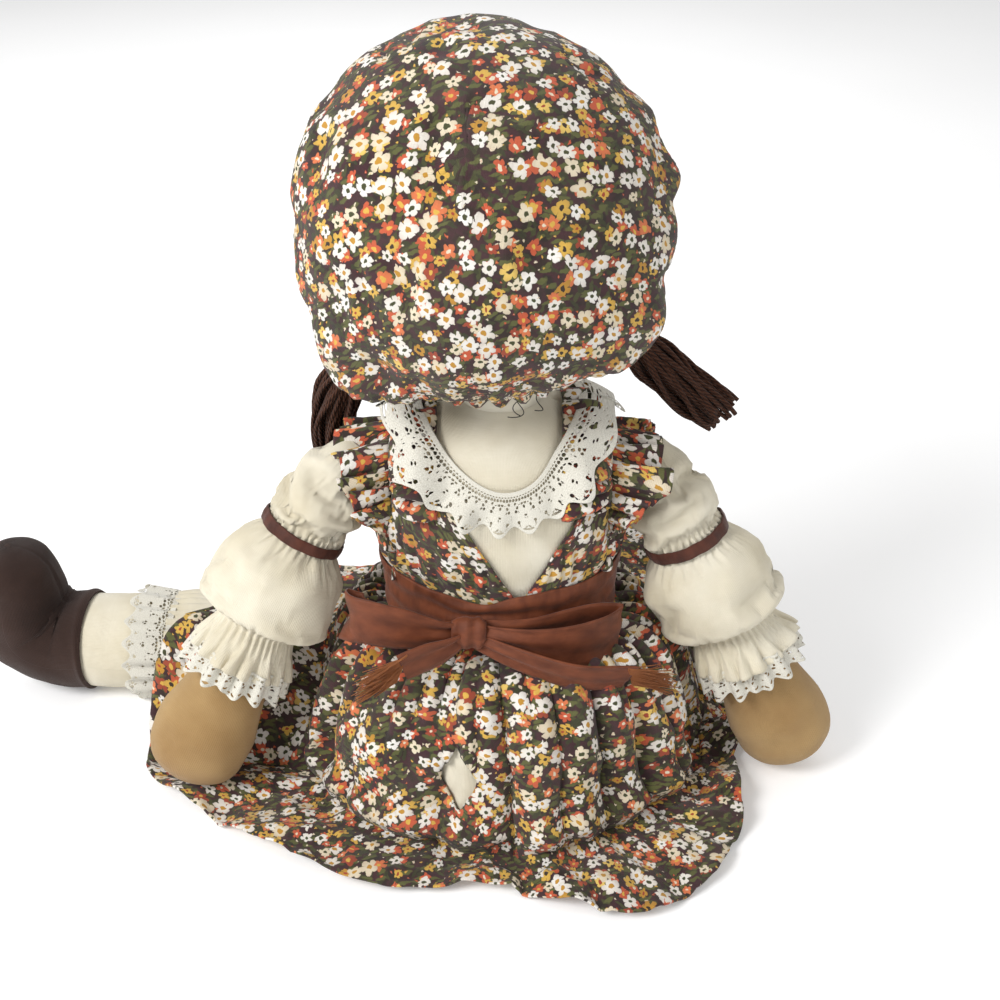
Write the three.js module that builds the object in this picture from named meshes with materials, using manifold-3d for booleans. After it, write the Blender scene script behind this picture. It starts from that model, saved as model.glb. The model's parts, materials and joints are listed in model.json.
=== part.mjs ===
// A seated rag doll in a print pinafore, in millimetres. +Z is up, the doll faces -Y, its left
// side is +X, and the origin is on the floor at the middle of the flat seat.
import * as THREE from "three";
import { mergeVertices } from "three/addons/utils/BufferGeometryUtils.js";
import Module from "manifold-3d";

const wasm = await Module();
wasm.setup();

// Cloth thicknesses, and the gap that pieces sewn or lying together keep
const SKIN = 1.6;
const COTTON = 1.5;
const RIBBON = 1.2;
const LACE = 1.0;
const GAP = 0.5;

// Torso: full widths and depths, and the heights where they hold
const HIP_WIDTH = 116;
const HIP_DEPTH = 80;
const WAIST_WIDTH = 116;
const WAIST_DEPTH = 84;
const CHEST_WIDTH = 128;
const CHEST_DEPTH = 84;
const SHOULDER_WIDTH = 124;
const SHOULDER_DEPTH = 74;
const SEAT_ROUNDING = 14;
const HIP_HEIGHT = 64;
const WAIST_HEIGHT = 118;
const CHEST_HEIGHT = 168;
const SHOULDER_HEIGHT = 202;
const NECK_RADIUS = 21;
const NECK_BALL_RADIUS = 25;
const NECK_HEIGHT = 248; // the middle of the ball that the head is sewn down over
const NECK_FILLING_HOLE = 10;

// Head, measured from its own middle
const HEAD_WIDTH = 150;
const HEAD_DEPTH = 140;
const HEAD_HEIGHT = 154;
const HEAD_LEAN = 6; // degrees towards the doll's left
const EYE_DIAMETER = 10;
const EYE_DOME = 2.6;
const EYE_SPACING = 50;
const EYE_DROP = 4;

// Hair and cap. The cap's axis points up and back, and angles are from that axis.
const HAIR_THICKNESS = 4;
const HAIR_HIDDEN = 12;
const HAIR_SHOWN = 21;
const HAIR_TUFT = 20;
const TUFT_PLACE = 0.88; // sine of half the angle round the face
const TUFT_SPREAD = 0.1;
const CAP_AXIS_BACK = 50;
const CAP_RIM_ANGLE = 102;
const CAP_PUFF = 9;
const CAP_FOLD_DEPTH = 2.2;
const CAP_FOLDS = 8;
const CAP_BAND_WIDTH = 8;
const PIGTAIL_DROP = 50; // its root below the middle of the head
const PIGTAIL_RADIUS = 14;
const PIGTAIL_TIE_RADIUS = 8;

// Arms, and the two-puff sleeves on them: radii across and through the flattened arm
const SHOULDER_SEAM_HEIGHT = 195;
const ARM_ROOT_RADIUS = 11.5;
const UPPER_ARM_LENGTH = 51;
const FOREARM_LENGTH = 141;
const ELBOW_RADIUS = 16;
const FOREARM_RADIUS = 19;
const ARM_FLATTENING = 2; // how much less than its half width an arm's half depth is
const HAND_WIDTH = 57;
const HAND_DEPTH = 46;
const SLEEVE_UPPER_PUFF = 8;
const SLEEVE_LOWER_PUFF = 13;
const SLEEVE_GATHER_RUN = 4;
const SLEEVE_FRILL_FLARE = 5;
const SLEEVE_RIBBON_WIDTH = 7;
const CUFF_FRILL_LENGTH = 20;
const CUFF_LACE_WIDTH = 15;
const ARM_POSES = {
  left: { side: 1, upperOut: 34, upperBack: 7, reachBack: 30, handRest: 10 },
  right: { side: -1, upperOut: 27, upperBack: 6, reachBack: 12, handRest: 2 },
};

// Legs, pantalettes and boots, along the leg from the hip
const HIP_SEAT_ANGLE = 35; // where round the hips a leg is sewn on
const LEG_ROOT_RADIUS = 22;
const LEG_RADIUS = 29;
const LEG_LENGTH = 190;
const PANTALETTE_LENGTH = 134;
const PANTALETTE_LACE_WIDTH = 27;
const PANTALETTE_LACE_FLARE = 3;
const PANTALETTE_FULLNESS = 2;
const BOOT_HEIGHT = 99;
const ANKLE_RADIUS = 28;
const BOOT_ANKLE_RUN = 20;
const BOOT_ANKLE_WIDTH = 60;
const BOOT_HEEL_RADIUS = 30;
const BOOT_TOE_RADIUS = 25;
const BOOT_TOE_WIDENING = 2;
const BOOT_TOE_LEAN = 2;
const LEG_TURNS = { left: -5, right: -82 }; // degrees from +X

// Pinafore
const BODICE_TOP = 188;
const WAIST_SEAM = 114;
const BACK_V_OFFSET = -10;
const BACK_V_WIDTH = 66;
const BACK_V_BOTTOM = 132;
const ARMHOLE_EASE = 12;
const STRAP_INNER = 34;
const STRAP_WIDTH = 21;
const STRAP_PUFF = 4.5;
const STRAP_GATHER_DEPTH = 1.8;
const STRAP_GATHER_PITCH = 17;
const RUFFLE_WIDTH = 20;
const RUFFLE_GATHER = 3;
const RUFFLE_TUCK = 2;
const COLLAR_WIDTH = 66; // across the neckline
const COLLAR_BACK_SCOOP = 43;
const COLLAR_FRONT_SCOOP = 26;
const COLLAR_LACE_WIDTH = 21;

// Skirt: its cut length, and how far the hem spreads, as shares of it, every 22.5 degrees from +X
const SKIRT_LENGTH = 185;
const HEM_SPREAD = [
  [0.8, 0.68, 0.54, 0.47],
  [0.4, 0.57, 0.54, 0.44],
  [0.44, 0.5, 0.58, 0.72],
  [0.67, 0.63, 0.66, 0.63],
].flat();
const SKIRT_BELL = 34;
const SKIRT_FOLDS = 9;
const SKIRT_FOLD_DEPTH = 8;
const SKIRT_LEG_EASE = 4;
const PLACKET_OFFSET = 22;
const PLACKET_HEIGHT = 52;
const PLACKET_OPENING = [13, 34];

// Sash ribbon and its bow
const SASH_WIDTH = 34;
const SASH_BOTTOM = 106;
const SASH_EASE = 0.75;
const BOW_OFFSET = 16;
const BOW_KNOT = [20, 12, 24];
const BOW_LOOP_LENGTH = 66;
const BOW_LOOP_OPENING = 13;
const BOW_LOOP_WIDTH = 30;
const BOW_TAIL_LENGTH = 56;
const BOW_TAIL_WIDTH = 22;

// Facets
const ROUND = 24;
const LIMB_SIDES = 14;

const { degToRad, lerp, smoothstep } = THREE.MathUtils;
const point = (x, y, z) => new THREE.Vector3(x, y, z);
const range = (count) => Array.from({ length: count }, (_, i) => i);
const turn = (i, sides) => (2 * Math.PI * i) / sides;

// Materials
const cloth = (color, roughness = 0.9) =>
  new THREE.MeshStandardMaterial({ color, roughness, metalness: 0 });
const MUSLIN = cloth("#e3ddc9");
const TAN_COTTON = cloth("#a98a55");
const FILLING = cloth("#f2f0ea", 1);
const PRINT = cloth("#4a3a30");
const LACE_WHITE = cloth("#f0eee6");
const RIBBON_BROWN = cloth("#7a3f24", 0.6);
const BOOT_BROWN = cloth("#3a2722");
const YARN_BROWN = cloth("#3d2417");
const EYE_BLACK = cloth("#1a1412", 0.4);

// A smooth curve through [position, value] pairs that never overshoots them
function through(pairs) {
  const steps = pairs.slice(1).map(([x, y], i) => (y - pairs[i][1]) / (x - pairs[i][0]));
  const slopes = pairs.map((_, i) => {
    const before = steps[Math.max(i - 1, 0)];
    const after = steps[Math.min(i, steps.length - 1)];
    return before * after > 0 ? (2 * before * after) / (before + after) : 0;
  });
  return (x) => {
    const found = pairs.findIndex(([end]) => x < end);
    const i = found < 0 ? pairs.length - 2 : Math.max(found - 1, 0);
    const [x0, y0] = pairs[i];
    const [x1, y1] = pairs[i + 1];
    const span = x1 - x0;
    const t = THREE.MathUtils.clamp((x - x0) / span, 0, 1);
    const rise = y0 * (1 + 2 * t) * (1 - t) ** 2 + y1 * t * t * (3 - 2 * t);
    return rise + span * t * (1 - t) * (slopes[i] * (1 - t) - slopes[i + 1] * t);
  };
}

// A smooth closed curve through values spaced evenly round a full turn
function around(values) {
  const n = values.length;
  return (angle) => {
    const place = ((((angle / (2 * Math.PI)) % 1) + 1) % 1) * n;
    const i = Math.floor(place) % n;
    const t = place - Math.floor(place);
    const [a, b, c, d] = [-1, 0, 1, 2].map((k) => values[(i + k + n) % n]);
    return b + 0.5 * t * (c - a + t * (2 * a - 5 * b + 4 * c - d + t * (3 * (b - c) + d - a)));
  };
}

// A closed mesh from points and triangles, with its faces turned outwards
function closed(points, faces) {
  const [a, b, c] = [point(), point(), point()];
  let volume = 0;
  for (let i = 0; i < faces.length; i += 3) {
    a.copy(points[faces[i]]);
    b.copy(points[faces[i + 1]]);
    c.copy(points[faces[i + 2]]);
    volume += a.dot(b.cross(c));
  }
  const geometry = new THREE.BufferGeometry().setFromPoints(points);
  geometry.setIndex(volume < 0 ? faces.toReversed() : faces);
  return geometry;
}

// A solid through rings of points: capped at both ends or, with wrap, joined end to end
function loft(rings, wrap = false) {
  const sides = rings[0].length;
  const points = rings.flat();
  const faces = [];
  for (let j = 0; j < (wrap ? rings.length : rings.length - 1); j++) {
    const near = j * sides;
    const far = ((j + 1) % rings.length) * sides;
    for (let i = 0; i < sides; i++) {
      const next = (i + 1) % sides;
      faces.push(near + i, near + next, far + next, near + i, far + next, far + i);
    }
  }
  if (!wrap) {
    const last = (rings.length - 1) * sides;
    for (const [first, flip] of [[0, true], [last, false]]) {
      const middle = points.length;
      const ring = points.slice(first, first + sides);
      points.push(ring.reduce((sum, p) => sum.add(p), point(0, 0, 0)).divideScalar(sides));
      for (let i = 0; i < sides; i++) {
        const pair = [first + i, first + ((i + 1) % sides)];
        faces.push(middle, ...(flip ? pair.reverse() : pair));
      }
    }
  }
  return closed(points, faces);
}

// A cloth tube, open at both ends, between outer and inner rings
const tube = (outer, inner) => loft([...outer, ...inner.toReversed()], true);

// A cloth bag, open at the last ring, between outer and inner rings
const bag = (outer, inner) => loft([...outer, ...inner.toReversed()]);

// Joins and cuts
function solid(geometry) {
  const bare = new THREE.BufferGeometry().setAttribute("position", geometry.getAttribute("position"));
  bare.setIndex(geometry.getIndex());
  const merged = mergeVertices(bare);
  const vertProperties = merged.getAttribute("position").array;
  const triVerts = new Uint32Array(merged.getIndex().array);
  return new wasm.Manifold(new wasm.Mesh({ numProp: 3, vertProperties, triVerts }));
}
function geometryOf(made) {
  const mesh = made.getMesh();
  return new THREE.BufferGeometry()
    .setAttribute("position", new THREE.BufferAttribute(mesh.vertProperties, 3))
    .setIndex(new THREE.BufferAttribute(mesh.triVerts, 1));
}

// A flat outline drawn in X and Z, as a block from one Y to another
function block(shape, from, to) {
  const settings = { depth: to - from, bevelEnabled: false, curveSegments: 8 };
  const extruded = new THREE.ExtrudeGeometry(shape, settings);
  return solid(extruded.rotateX(Math.PI / 2).translate(0, to, 0));
}
const outline = (corners) => new THREE.Shape(corners.map(([x, z]) => new THREE.Vector2(x, z)));

// Every piece goes into a group as a named mesh.
const doll = new THREE.Group();
function piece(group, name, geometry, material) {
  const mesh = new THREE.Mesh(geometry, material);
  mesh.name = name;
  group.add(mesh);
}

// Torso sections
const NECK_BASE = NECK_HEIGHT - Math.sqrt(NECK_BALL_RADIUS ** 2 - NECK_RADIUS ** 2);
const SHOULDER_SLOPE_SHARE = 0.6;
const SLOPE_HEIGHT = lerp(SHOULDER_HEIGHT, NECK_BASE, SHOULDER_SLOPE_SHARE);
const sectionThrough = (hip, waist, chest, shoulder) =>
  through([
    [SEAT_ROUNDING, hip / 2],
    [HIP_HEIGHT, hip / 2],
    [WAIST_HEIGHT, waist / 2],
    [CHEST_HEIGHT, chest / 2],
    [SHOULDER_HEIGHT, shoulder / 2],
    [SLOPE_HEIGHT, lerp(shoulder / 2, NECK_RADIUS, 1 - SHOULDER_SLOPE_SHARE)],
    [NECK_BASE, NECK_RADIUS],
  ]);
const torsoHalfWidth = sectionThrough(HIP_WIDTH, WAIST_WIDTH, CHEST_WIDTH, SHOULDER_WIDTH);
const torsoHalfDepth = sectionThrough(HIP_DEPTH, WAIST_DEPTH, CHEST_DEPTH, SHOULDER_DEPTH);
const onTorso = (angle, z, out) =>
  point((torsoHalfWidth(z) + out) * Math.cos(angle), (torsoHalfDepth(z) + out) * Math.sin(angle), z);
const torsoRing = (z, out, sides = ROUND) => range(sides).map((i) => onTorso(turn(i, sides), z, out));
const TORSO_HEIGHTS = [
  HIP_HEIGHT,
  SASH_BOTTOM - COTTON,
  WAIST_HEIGHT,
  lerp(WAIST_HEIGHT, CHEST_HEIGHT, 0.55),
  CHEST_HEIGHT,
  lerp(CHEST_HEIGHT, SHOULDER_HEIGHT, 0.6),
  SHOULDER_HEIGHT,
  lerp(SHOULDER_HEIGHT, SLOPE_HEIGHT, 0.5),
  SLOPE_HEIGHT,
  lerp(SLOPE_HEIGHT, NECK_BASE, 0.55),
  NECK_BASE,
];

// The torso's skin, drawn in by an inset: flat seat, body, neck and the ball on the neck
function torsoRings(inset, sides) {
  const seat = [0, 45].map((angle) => {
    const tuck = SEAT_ROUNDING * (1 - Math.sin(degToRad(angle)));
    const lift = SEAT_ROUNDING * (1 - Math.cos(degToRad(angle)));
    return torsoRing(SEAT_ROUNDING, -inset - tuck, sides).map((p) => p.setZ(Math.max(lift, inset)));
  });
  const body = [SEAT_ROUNDING, ...TORSO_HEIGHTS].map((z) => torsoRing(z, -inset, sides));
  const hole = THREE.MathUtils.radToDeg(Math.acos(NECK_FILLING_HOLE / NECK_BALL_RADIUS));
  const ball = [-12, 24, 48, hole].map((angle) => {
    const radius = NECK_BALL_RADIUS * Math.cos(degToRad(angle)) - inset;
    const z = NECK_HEIGHT + (NECK_BALL_RADIUS - inset) * Math.sin(degToRad(angle));
    return range(sides)
      .map((i) => turn(i, sides))
      .map((round) => point(radius * Math.cos(round), radius * Math.sin(round), z));
  });
  return [...seat, ...body, ...ball];
}
function addTorso() {
  piece(doll, "torso_skin", bag(torsoRings(0, ROUND), torsoRings(SKIN, ROUND)), MUSLIN);
  piece(doll, "torso_stuffing", loft(torsoRings(SKIN + GAP, ROUND / 2)), FILLING);
}

// A solid layer round the upper torso, out from the skin by a distance or by a function of place
function torsoLayer(out, heights = TORSO_HEIGHTS) {
  return solid(loft(heights.map((z) => torsoRing(z, out))));
}
const BODY_REACH = CHEST_WIDTH;

// Where the sleeves are sewn on, and the armholes that the pinafore leaves round them
const SLEEVE_ROOT_RADIUS = ARM_ROOT_RADIUS + GAP + COTTON;
const shoulderSeam = (side) =>
  point(side * (torsoHalfWidth(SHOULDER_SEAM_HEIGHT) + SLEEVE_ROOT_RADIUS + GAP), 0, SHOULDER_SEAM_HEIGHT);
function withArmholes(made) {
  const radius = SLEEVE_ROOT_RADIUS + ARMHOLE_EASE;
  return [1, -1].reduce((kept, side) => {
    const hole = new THREE.SphereGeometry(radius, 16, 10).translate(...shoulderSeam(side));
    return kept.subtract(solid(hole));
  }, made);
}

// Pinafore bodice: a front panel and two back panels that leave a V of bare back
const bodiceLayer = () =>
  withArmholes(torsoLayer(GAP + COTTON).subtract(torsoLayer(GAP)).subtract(collarRegion(GAP)));
function addBodice() {
  const front = outline([
    [-BODY_REACH, WAIST_SEAM],
    [BODY_REACH, WAIST_SEAM],
    [BODY_REACH, BODICE_TOP],
    [-BODY_REACH, BODICE_TOP],
  ]);
  const frontHalf = block(front, -BODY_REACH, -GAP / 2);
  piece(doll, "bodice_front", geometryOf(bodiceLayer().intersect(frontHalf)), PRINT);
  for (const [name, side] of [["bodice_back_left", 1], ["bodice_back_right", -1]]) {
    const panel = outline([
      [side * BODY_REACH, WAIST_SEAM],
      [side * BODY_REACH, BODICE_TOP],
      [BACK_V_OFFSET + (side * BACK_V_WIDTH) / 2, BODICE_TOP],
      [BACK_V_OFFSET + side * GAP, BACK_V_BOTTOM],
      [BACK_V_OFFSET + side * GAP, WAIST_SEAM],
    ]);
    piece(doll, name, geometryOf(bodiceLayer().intersect(block(panel, GAP / 2, BODY_REACH))), PRINT);
  }
}

// Lace collar: a scooped band round the neckline, lower at the back
function collarBand(scoop, grow) {
  const middle = NECK_BASE - GAP;
  const [inner, outer] = [-grow, COLLAR_LACE_WIDTH + grow];
  const band = new THREE.Shape();
  band.absellipse(0, middle, COLLAR_WIDTH / 2 + outer, scoop + outer, Math.PI, 0);
  band.absellipse(0, middle, COLLAR_WIDTH / 2 + inner, scoop + inner, 0, Math.PI, true);
  return band;
}
function collarRegion(grow) {
  const back = block(collarBand(COLLAR_BACK_SCOOP, grow), 0, BODY_REACH);
  return back.add(block(collarBand(COLLAR_FRONT_SCOOP, grow), -BODY_REACH, 0));
}
function addCollar() {
  const layer = torsoLayer(GAP + LACE).subtract(torsoLayer(GAP));
  piece(doll, "lace_collar", geometryOf(layer.intersect(collarRegion(0))), LACE_WHITE);
}

// Gathered shoulder straps, from the back panels over the shoulders to the front panel
function addStraps() {
  const top = NECK_BASE - GAP;
  const steps = Math.ceil(((top - BODICE_TOP) / STRAP_GATHER_PITCH) * 4);
  const heights = range(steps + 1).map((i) => lerp(BODICE_TOP, top, i / steps));
  const gathered = heights.map((z) => {
    const gather = STRAP_GATHER_DEPTH * Math.sin(turn(z - BODICE_TOP, STRAP_GATHER_PITCH));
    return torsoRing(z, GAP + COTTON + STRAP_PUFF + gather);
  });
  const overCollar = torsoLayer(GAP + LACE + GAP).intersect(collarRegion(GAP));
  const puffed = withArmholes(solid(loft(gathered)).subtract(torsoLayer(GAP)).subtract(overCollar));
  for (const [name, side] of [["shoulder_strap_left", 1], ["shoulder_strap_right", -1]]) {
    const bottom = BODICE_TOP + GAP;
    const strap = outline([
      [side * (STRAP_INNER - STRAP_WIDTH / 3), bottom],
      [side * (STRAP_INNER + STRAP_WIDTH), bottom],
      [side * (STRAP_INNER + STRAP_WIDTH), NECK_HEIGHT],
      [side * STRAP_INNER, NECK_HEIGHT],
    ]);
    piece(doll, name, geometryOf(puffed.intersect(block(strap, -BODY_REACH, BODY_REACH))), PRINT);
  }
}

// Ruffles: a gathered frill along the outer edge of each strap, from back waist to front waist
function addRuffles() {
  const out = GAP + COTTON + GAP;
  const edgeAt = STRAP_INNER + STRAP_WIDTH + 2 * GAP + COTTON / 2;
  const bottom = SASH_BOTTOM + SASH_WIDTH + RUFFLE_TUCK;
  const heights = range(200).map((i) => lerp(NECK_BASE, SHOULDER_SEAM_HEIGHT, i / 199));
  const top = heights.find((z) => torsoHalfWidth(z) + out > edgeAt + GAP);
  const steps = 36;
  for (const [name, side] of [["strap_ruffle_left", 1], ["strap_ruffle_right", -1]]) {
    const rings = range(steps + 1).map((i) => {
      const u = (2 * i) / steps - 1;
      const low = Math.abs(u);
      const z = lerp(top, bottom, low ** 1.6);
      const angle = Math.sign(u) * Math.acos(Math.min(edgeAt / (torsoHalfWidth(z) + out), 1));
      const base = onTorso(angle, z, out).setX(edgeAt);
      const width = RUFFLE_WIDTH * (0.3 + 0.7 * Math.cos((u * Math.PI) / 2));
      const gather = RUFFLE_GATHER * Math.sin(turn(i, 6));
      const spread = width * 0.4 * Math.sin(angle);
      const lift = width * 0.25 * (1 - low);
      const edge = point(width * 0.95, gather * low + spread, gather + lift).add(base);
      const thick = point(0, Math.sign(u) * low, 1 - 0.8 * low).setLength(COTTON / 2);
      const corners = [[base, -1], [edge, -1], [edge, 1], [base, 1]];
      return corners.map(([p, by]) => p.clone().addScaledVector(thick, by)).map((p) => p.setX(side * p.x));
    });
    piece(doll, name, loft(rings), PRINT);
  }
}

// Sash ribbon round the waist, and the bow tied at the back
const SASH_INSIDE = GAP + COTTON + SASH_EASE;
const sashSurface = (z) => torsoHalfDepth(z) + SASH_INSIDE + RIBBON;
function addSash() {
  const slab = outline([
    [-BODY_REACH, SASH_BOTTOM],
    [BODY_REACH, SASH_BOTTOM],
    [BODY_REACH, SASH_BOTTOM + SASH_WIDTH],
    [-BODY_REACH, SASH_BOTTOM + SASH_WIDTH],
  ]);
  const layer = torsoLayer(SASH_INSIDE + RIBBON).subtract(torsoLayer(SASH_INSIDE));
  piece(doll, "sash_band", geometryOf(layer.intersect(block(slab, -BODY_REACH, BODY_REACH))), RIBBON_BROWN);
}

// One loop of the bow: a ribbon on edge, bent in a teardrop that is pinched at the knot
function bowLoop(side, knot) {
  const steps = 16;
  const teardrop = (angle, inset) => {
    const length = BOW_LOOP_LENGTH - 2 * inset;
    const half = BOW_LOOP_OPENING / 2 - inset;
    const out = inset - BOW_KNOT[0] / 5 + (length * (1 - Math.cos(angle))) / 2;
    return [side * out, 1.3 * half * Math.sin(angle) * Math.sin(angle / 2)];
  };
  const rings = range(steps).map((i) => {
    const [outer, inner] = [0, RIBBON].map((inset) => teardrop(turn(i, steps), inset));
    const edge = BOW_LOOP_WIDTH / 2;
    const corners = [[outer, -edge], [outer, edge], [inner, edge], [inner, -edge]];
    return corners.map(([[x, y], z]) => point(x + knot[0], y + knot[1], z + knot[2]));
  });
  return solid(loft(rings, true));
}

// One tail of the bow: a flat ribbon falling away from the knot
function bowTail(side, knot) {
  const drop = [point(side * 0.03, 0, 0), point(side * 0.5, 0.12, -0.2), point(side * 0.9, 0.2, -0.36)];
  const line = new THREE.CatmullRomCurve3(drop.map((p) => p.multiplyScalar(BOW_TAIL_LENGTH)));
  const rings = range(6).map((i) => {
    const t = i / 5;
    const at = line.getPoint(t).add(point(...knot));
    const half = lerp(BOW_TAIL_WIDTH / 4, BOW_TAIL_WIDTH / 2, t);
    const [near, far] = [-RIBBON / 2, RIBBON / 2];
    const corners = [[-half, near], [half, near], [half, far], [-half, far]];
    return corners.map(([z, y]) => point(0, y, z).add(at));
  });
  return solid(loft(rings));
}
function addBow() {
  const [width, depth, height] = BOW_KNOT;
  const seat = sashSurface(SASH_BOTTOM + SASH_WIDTH / 2);
  const knot = [BOW_OFFSET, seat + GAP + depth / 2, SASH_BOTTOM + SASH_WIDTH / 2];
  const ball = new THREE.SphereGeometry(0.5, 12, 8).scale(width, depth, height).translate(...knot);
  const tailRoot = [knot[0], knot[1] + depth / 4, knot[2] - height / 4];
  const bow = [1, -1].reduce(
    (made, side) => made.add(bowLoop(side, knot)).add(bowTail(side, tailRoot)),
    solid(ball),
  );
  const behindSash = torsoLayer(SASH_INSIDE + RIBBON + GAP);
  piece(doll, "sash_bow", geometryOf(bow.subtract(behindSash)), RIBBON_BROWN);
}

// A limb is rings square to a curve: each has its distance along the curve and two radii.
function limbRings(curve, stations, across, sides = LIMB_SIDES) {
  const length = curve.getLength();
  return stations.map(([distance, wide, thin]) => {
    const share = THREE.MathUtils.clamp(distance / length, 0, 1);
    const along = curve.getTangentAt(share);
    const at = curve.getPointAt(share).addScaledVector(along, distance - share * length);
    const side = across.clone().addScaledVector(along, -across.dot(along)).normalize();
    const thickness = along.clone().cross(side);
    return range(sides).map((i) => {
      const angle = turn(i, sides);
      return at
        .clone()
        .addScaledVector(side, wide * Math.cos(angle))
        .addScaledVector(thickness, thin * Math.sin(angle));
    });
  });
}

// Stations of a domed end, by angles from its widest ring to near its pole
const FULL_DOME = [28, 54, 76];
const domeStations = (distance, wide, thin, length, angles = FULL_DOME) =>
  angles.map(degToRad).map((angle) => {
    const [rise, shrink] = [Math.sin(angle), Math.cos(angle)];
    return [distance + length * rise, wide * shrink, thin * shrink, Math.sign(length) * rise];
  });

// Stations of a limb's root: a blunt dome that turns in its seat on the torso
const ROOT_DOME = [54, 36, 18];
const rootStations = (radius) => domeStations(0, radius, radius, -radius, ROOT_DOME);

// The same stations drawn in all round, and at a domed end along the limb too
const inset = (stations, by) =>
  stations.map(([d, wide, thin, pull = 0]) => [d - pull * by, wide - by, thin - by, pull]);

// Arms: a filled cotton arm with a mitten hand, in a two-puff sleeve with ribbon and lace
function armCurve({ side, upperOut, upperBack, reachBack, handRest }) {
  const shoulder = shoulderSeam(side);
  const upper = point(side * Math.tan(degToRad(upperOut)), Math.tan(degToRad(upperBack)), -1).normalize();
  const elbow = shoulder.clone().addScaledVector(upper, UPPER_ARM_LENGTH);
  const drop = Math.min(elbow.z - handRest - HAND_DEPTH / 2, 0.97 * FOREARM_LENGTH);
  const reach = Math.sqrt(FOREARM_LENGTH ** 2 - drop ** 2);
  const out = point(side * Math.cos(degToRad(reachBack)), Math.sin(degToRad(reachBack)), 0);
  const hand = elbow.clone().addScaledVector(out, reach).add(point(0, 0, -drop));
  const middle = elbow.clone().lerp(hand, 0.5);
  return new THREE.CatmullRomCurve3([shoulder, elbow, middle, hand]);
}
function addArm(name, pose) {
  const curve = armCurve(pose);
  const across = point(1, 0, 0);
  const length = curve.getLength();
  const band = UPPER_ARM_LENGTH;
  const gather = band + (length - band) * 0.42;
  const hem = gather + CUFF_FRILL_LENGTH;
  const half = [HAND_WIDTH / 2, HAND_DEPTH / 2];
  const arm = [
    ...rootStations(ARM_ROOT_RADIUS),
    [band * 0.5, ARM_ROOT_RADIUS + ARM_FLATTENING, ARM_ROOT_RADIUS],
    [band, ELBOW_RADIUS, ELBOW_RADIUS - ARM_FLATTENING],
    [gather, FOREARM_RADIUS, FOREARM_RADIUS - ARM_FLATTENING],
    [hem + CUFF_LACE_WIDTH / 2, FOREARM_RADIUS + ARM_FLATTENING / 2, FOREARM_RADIUS - ARM_FLATTENING / 2],
    [length - half[0] / 2, ...half.map((r) => r * 0.97)],
    [length, ...half.map((r) => r * 0.96)],
    ...domeStations(length, ...half.map((r) => r * 0.96), half[1] * 0.9),
  ];
  const skin = limbRings(curve, arm.toReversed(), across);
  const under = limbRings(curve, inset(arm, SKIN).toReversed(), across);
  piece(doll, `arm_skin_${name}`, bag(skin, under), TAN_COTTON);
  const filling = inset(arm, SKIN + GAP);
  piece(doll, `arm_stuffing_${name}`, loft(limbRings(curve, filling, across, LIMB_SIDES / 2)), FILLING);

  const clear = GAP + COTTON;
  const flat = FOREARM_RADIUS - ARM_FLATTENING + clear;
  const tied = [flat + ARM_FLATTENING, flat - ARM_FLATTENING / 2];
  const sleeve = [
    ...rootStations(SLEEVE_ROOT_RADIUS),
    [band * 0.28, ...[0.6, 0.25].map((share) => SLEEVE_ROOT_RADIUS + SLEEVE_UPPER_PUFF * share)],
    [band * 0.62, ...[1, 0.5].map((share) => SLEEVE_ROOT_RADIUS + SLEEVE_UPPER_PUFF * share)],
    [band - SLEEVE_RIBBON_WIDTH / 2, ...tied],
    [band + SLEEVE_RIBBON_WIDTH / 2, ...tied],
    [lerp(band, gather, 0.4), flat + SLEEVE_LOWER_PUFF * 0.85, flat + SLEEVE_LOWER_PUFF * 0.4],
    [lerp(band, gather, 0.75), flat + SLEEVE_LOWER_PUFF, flat + SLEEVE_LOWER_PUFF * 0.5],
    [gather - SLEEVE_GATHER_RUN, flat + SLEEVE_LOWER_PUFF * 0.5, flat + ARM_FLATTENING],
    [gather, FOREARM_RADIUS + clear, flat],
    [hem, FOREARM_RADIUS + clear + SLEEVE_FRILL_FLARE, flat + SLEEVE_FRILL_FLARE],
  ];
  const sleeveOut = limbRings(curve, sleeve, across);
  piece(doll, `sleeve_${name}`, tube(sleeveOut, limbRings(curve, inset(sleeve, COTTON), across)), MUSLIN);

  const ring = [band - SLEEVE_RIBBON_WIDTH / 2, band + SLEEVE_RIBBON_WIDTH / 2];
  const ribbon = ring.map((d) => [d, ...tied.map((radius) => radius + GAP + RIBBON)]);
  const ribbonIn = limbRings(curve, inset(ribbon, RIBBON), across);
  piece(doll, `sleeve_ribbon_${name}`, tube(limbRings(curve, ribbon, across), ribbonIn), RIBBON_BROWN);

  const lace = [0, 1].map((i) => {
    const flare = SLEEVE_FRILL_FLARE * (1 + 0.5 * i);
    return [hem + GAP + i * CUFF_LACE_WIDTH, FOREARM_RADIUS + clear + flare, flat + flare];
  });
  const laceIn = limbRings(curve, inset(lace, LACE), across);
  piece(doll, `cuff_lace_${name}`, tube(limbRings(curve, lace, across), laceIn), LACE_WHITE);
}

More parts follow.
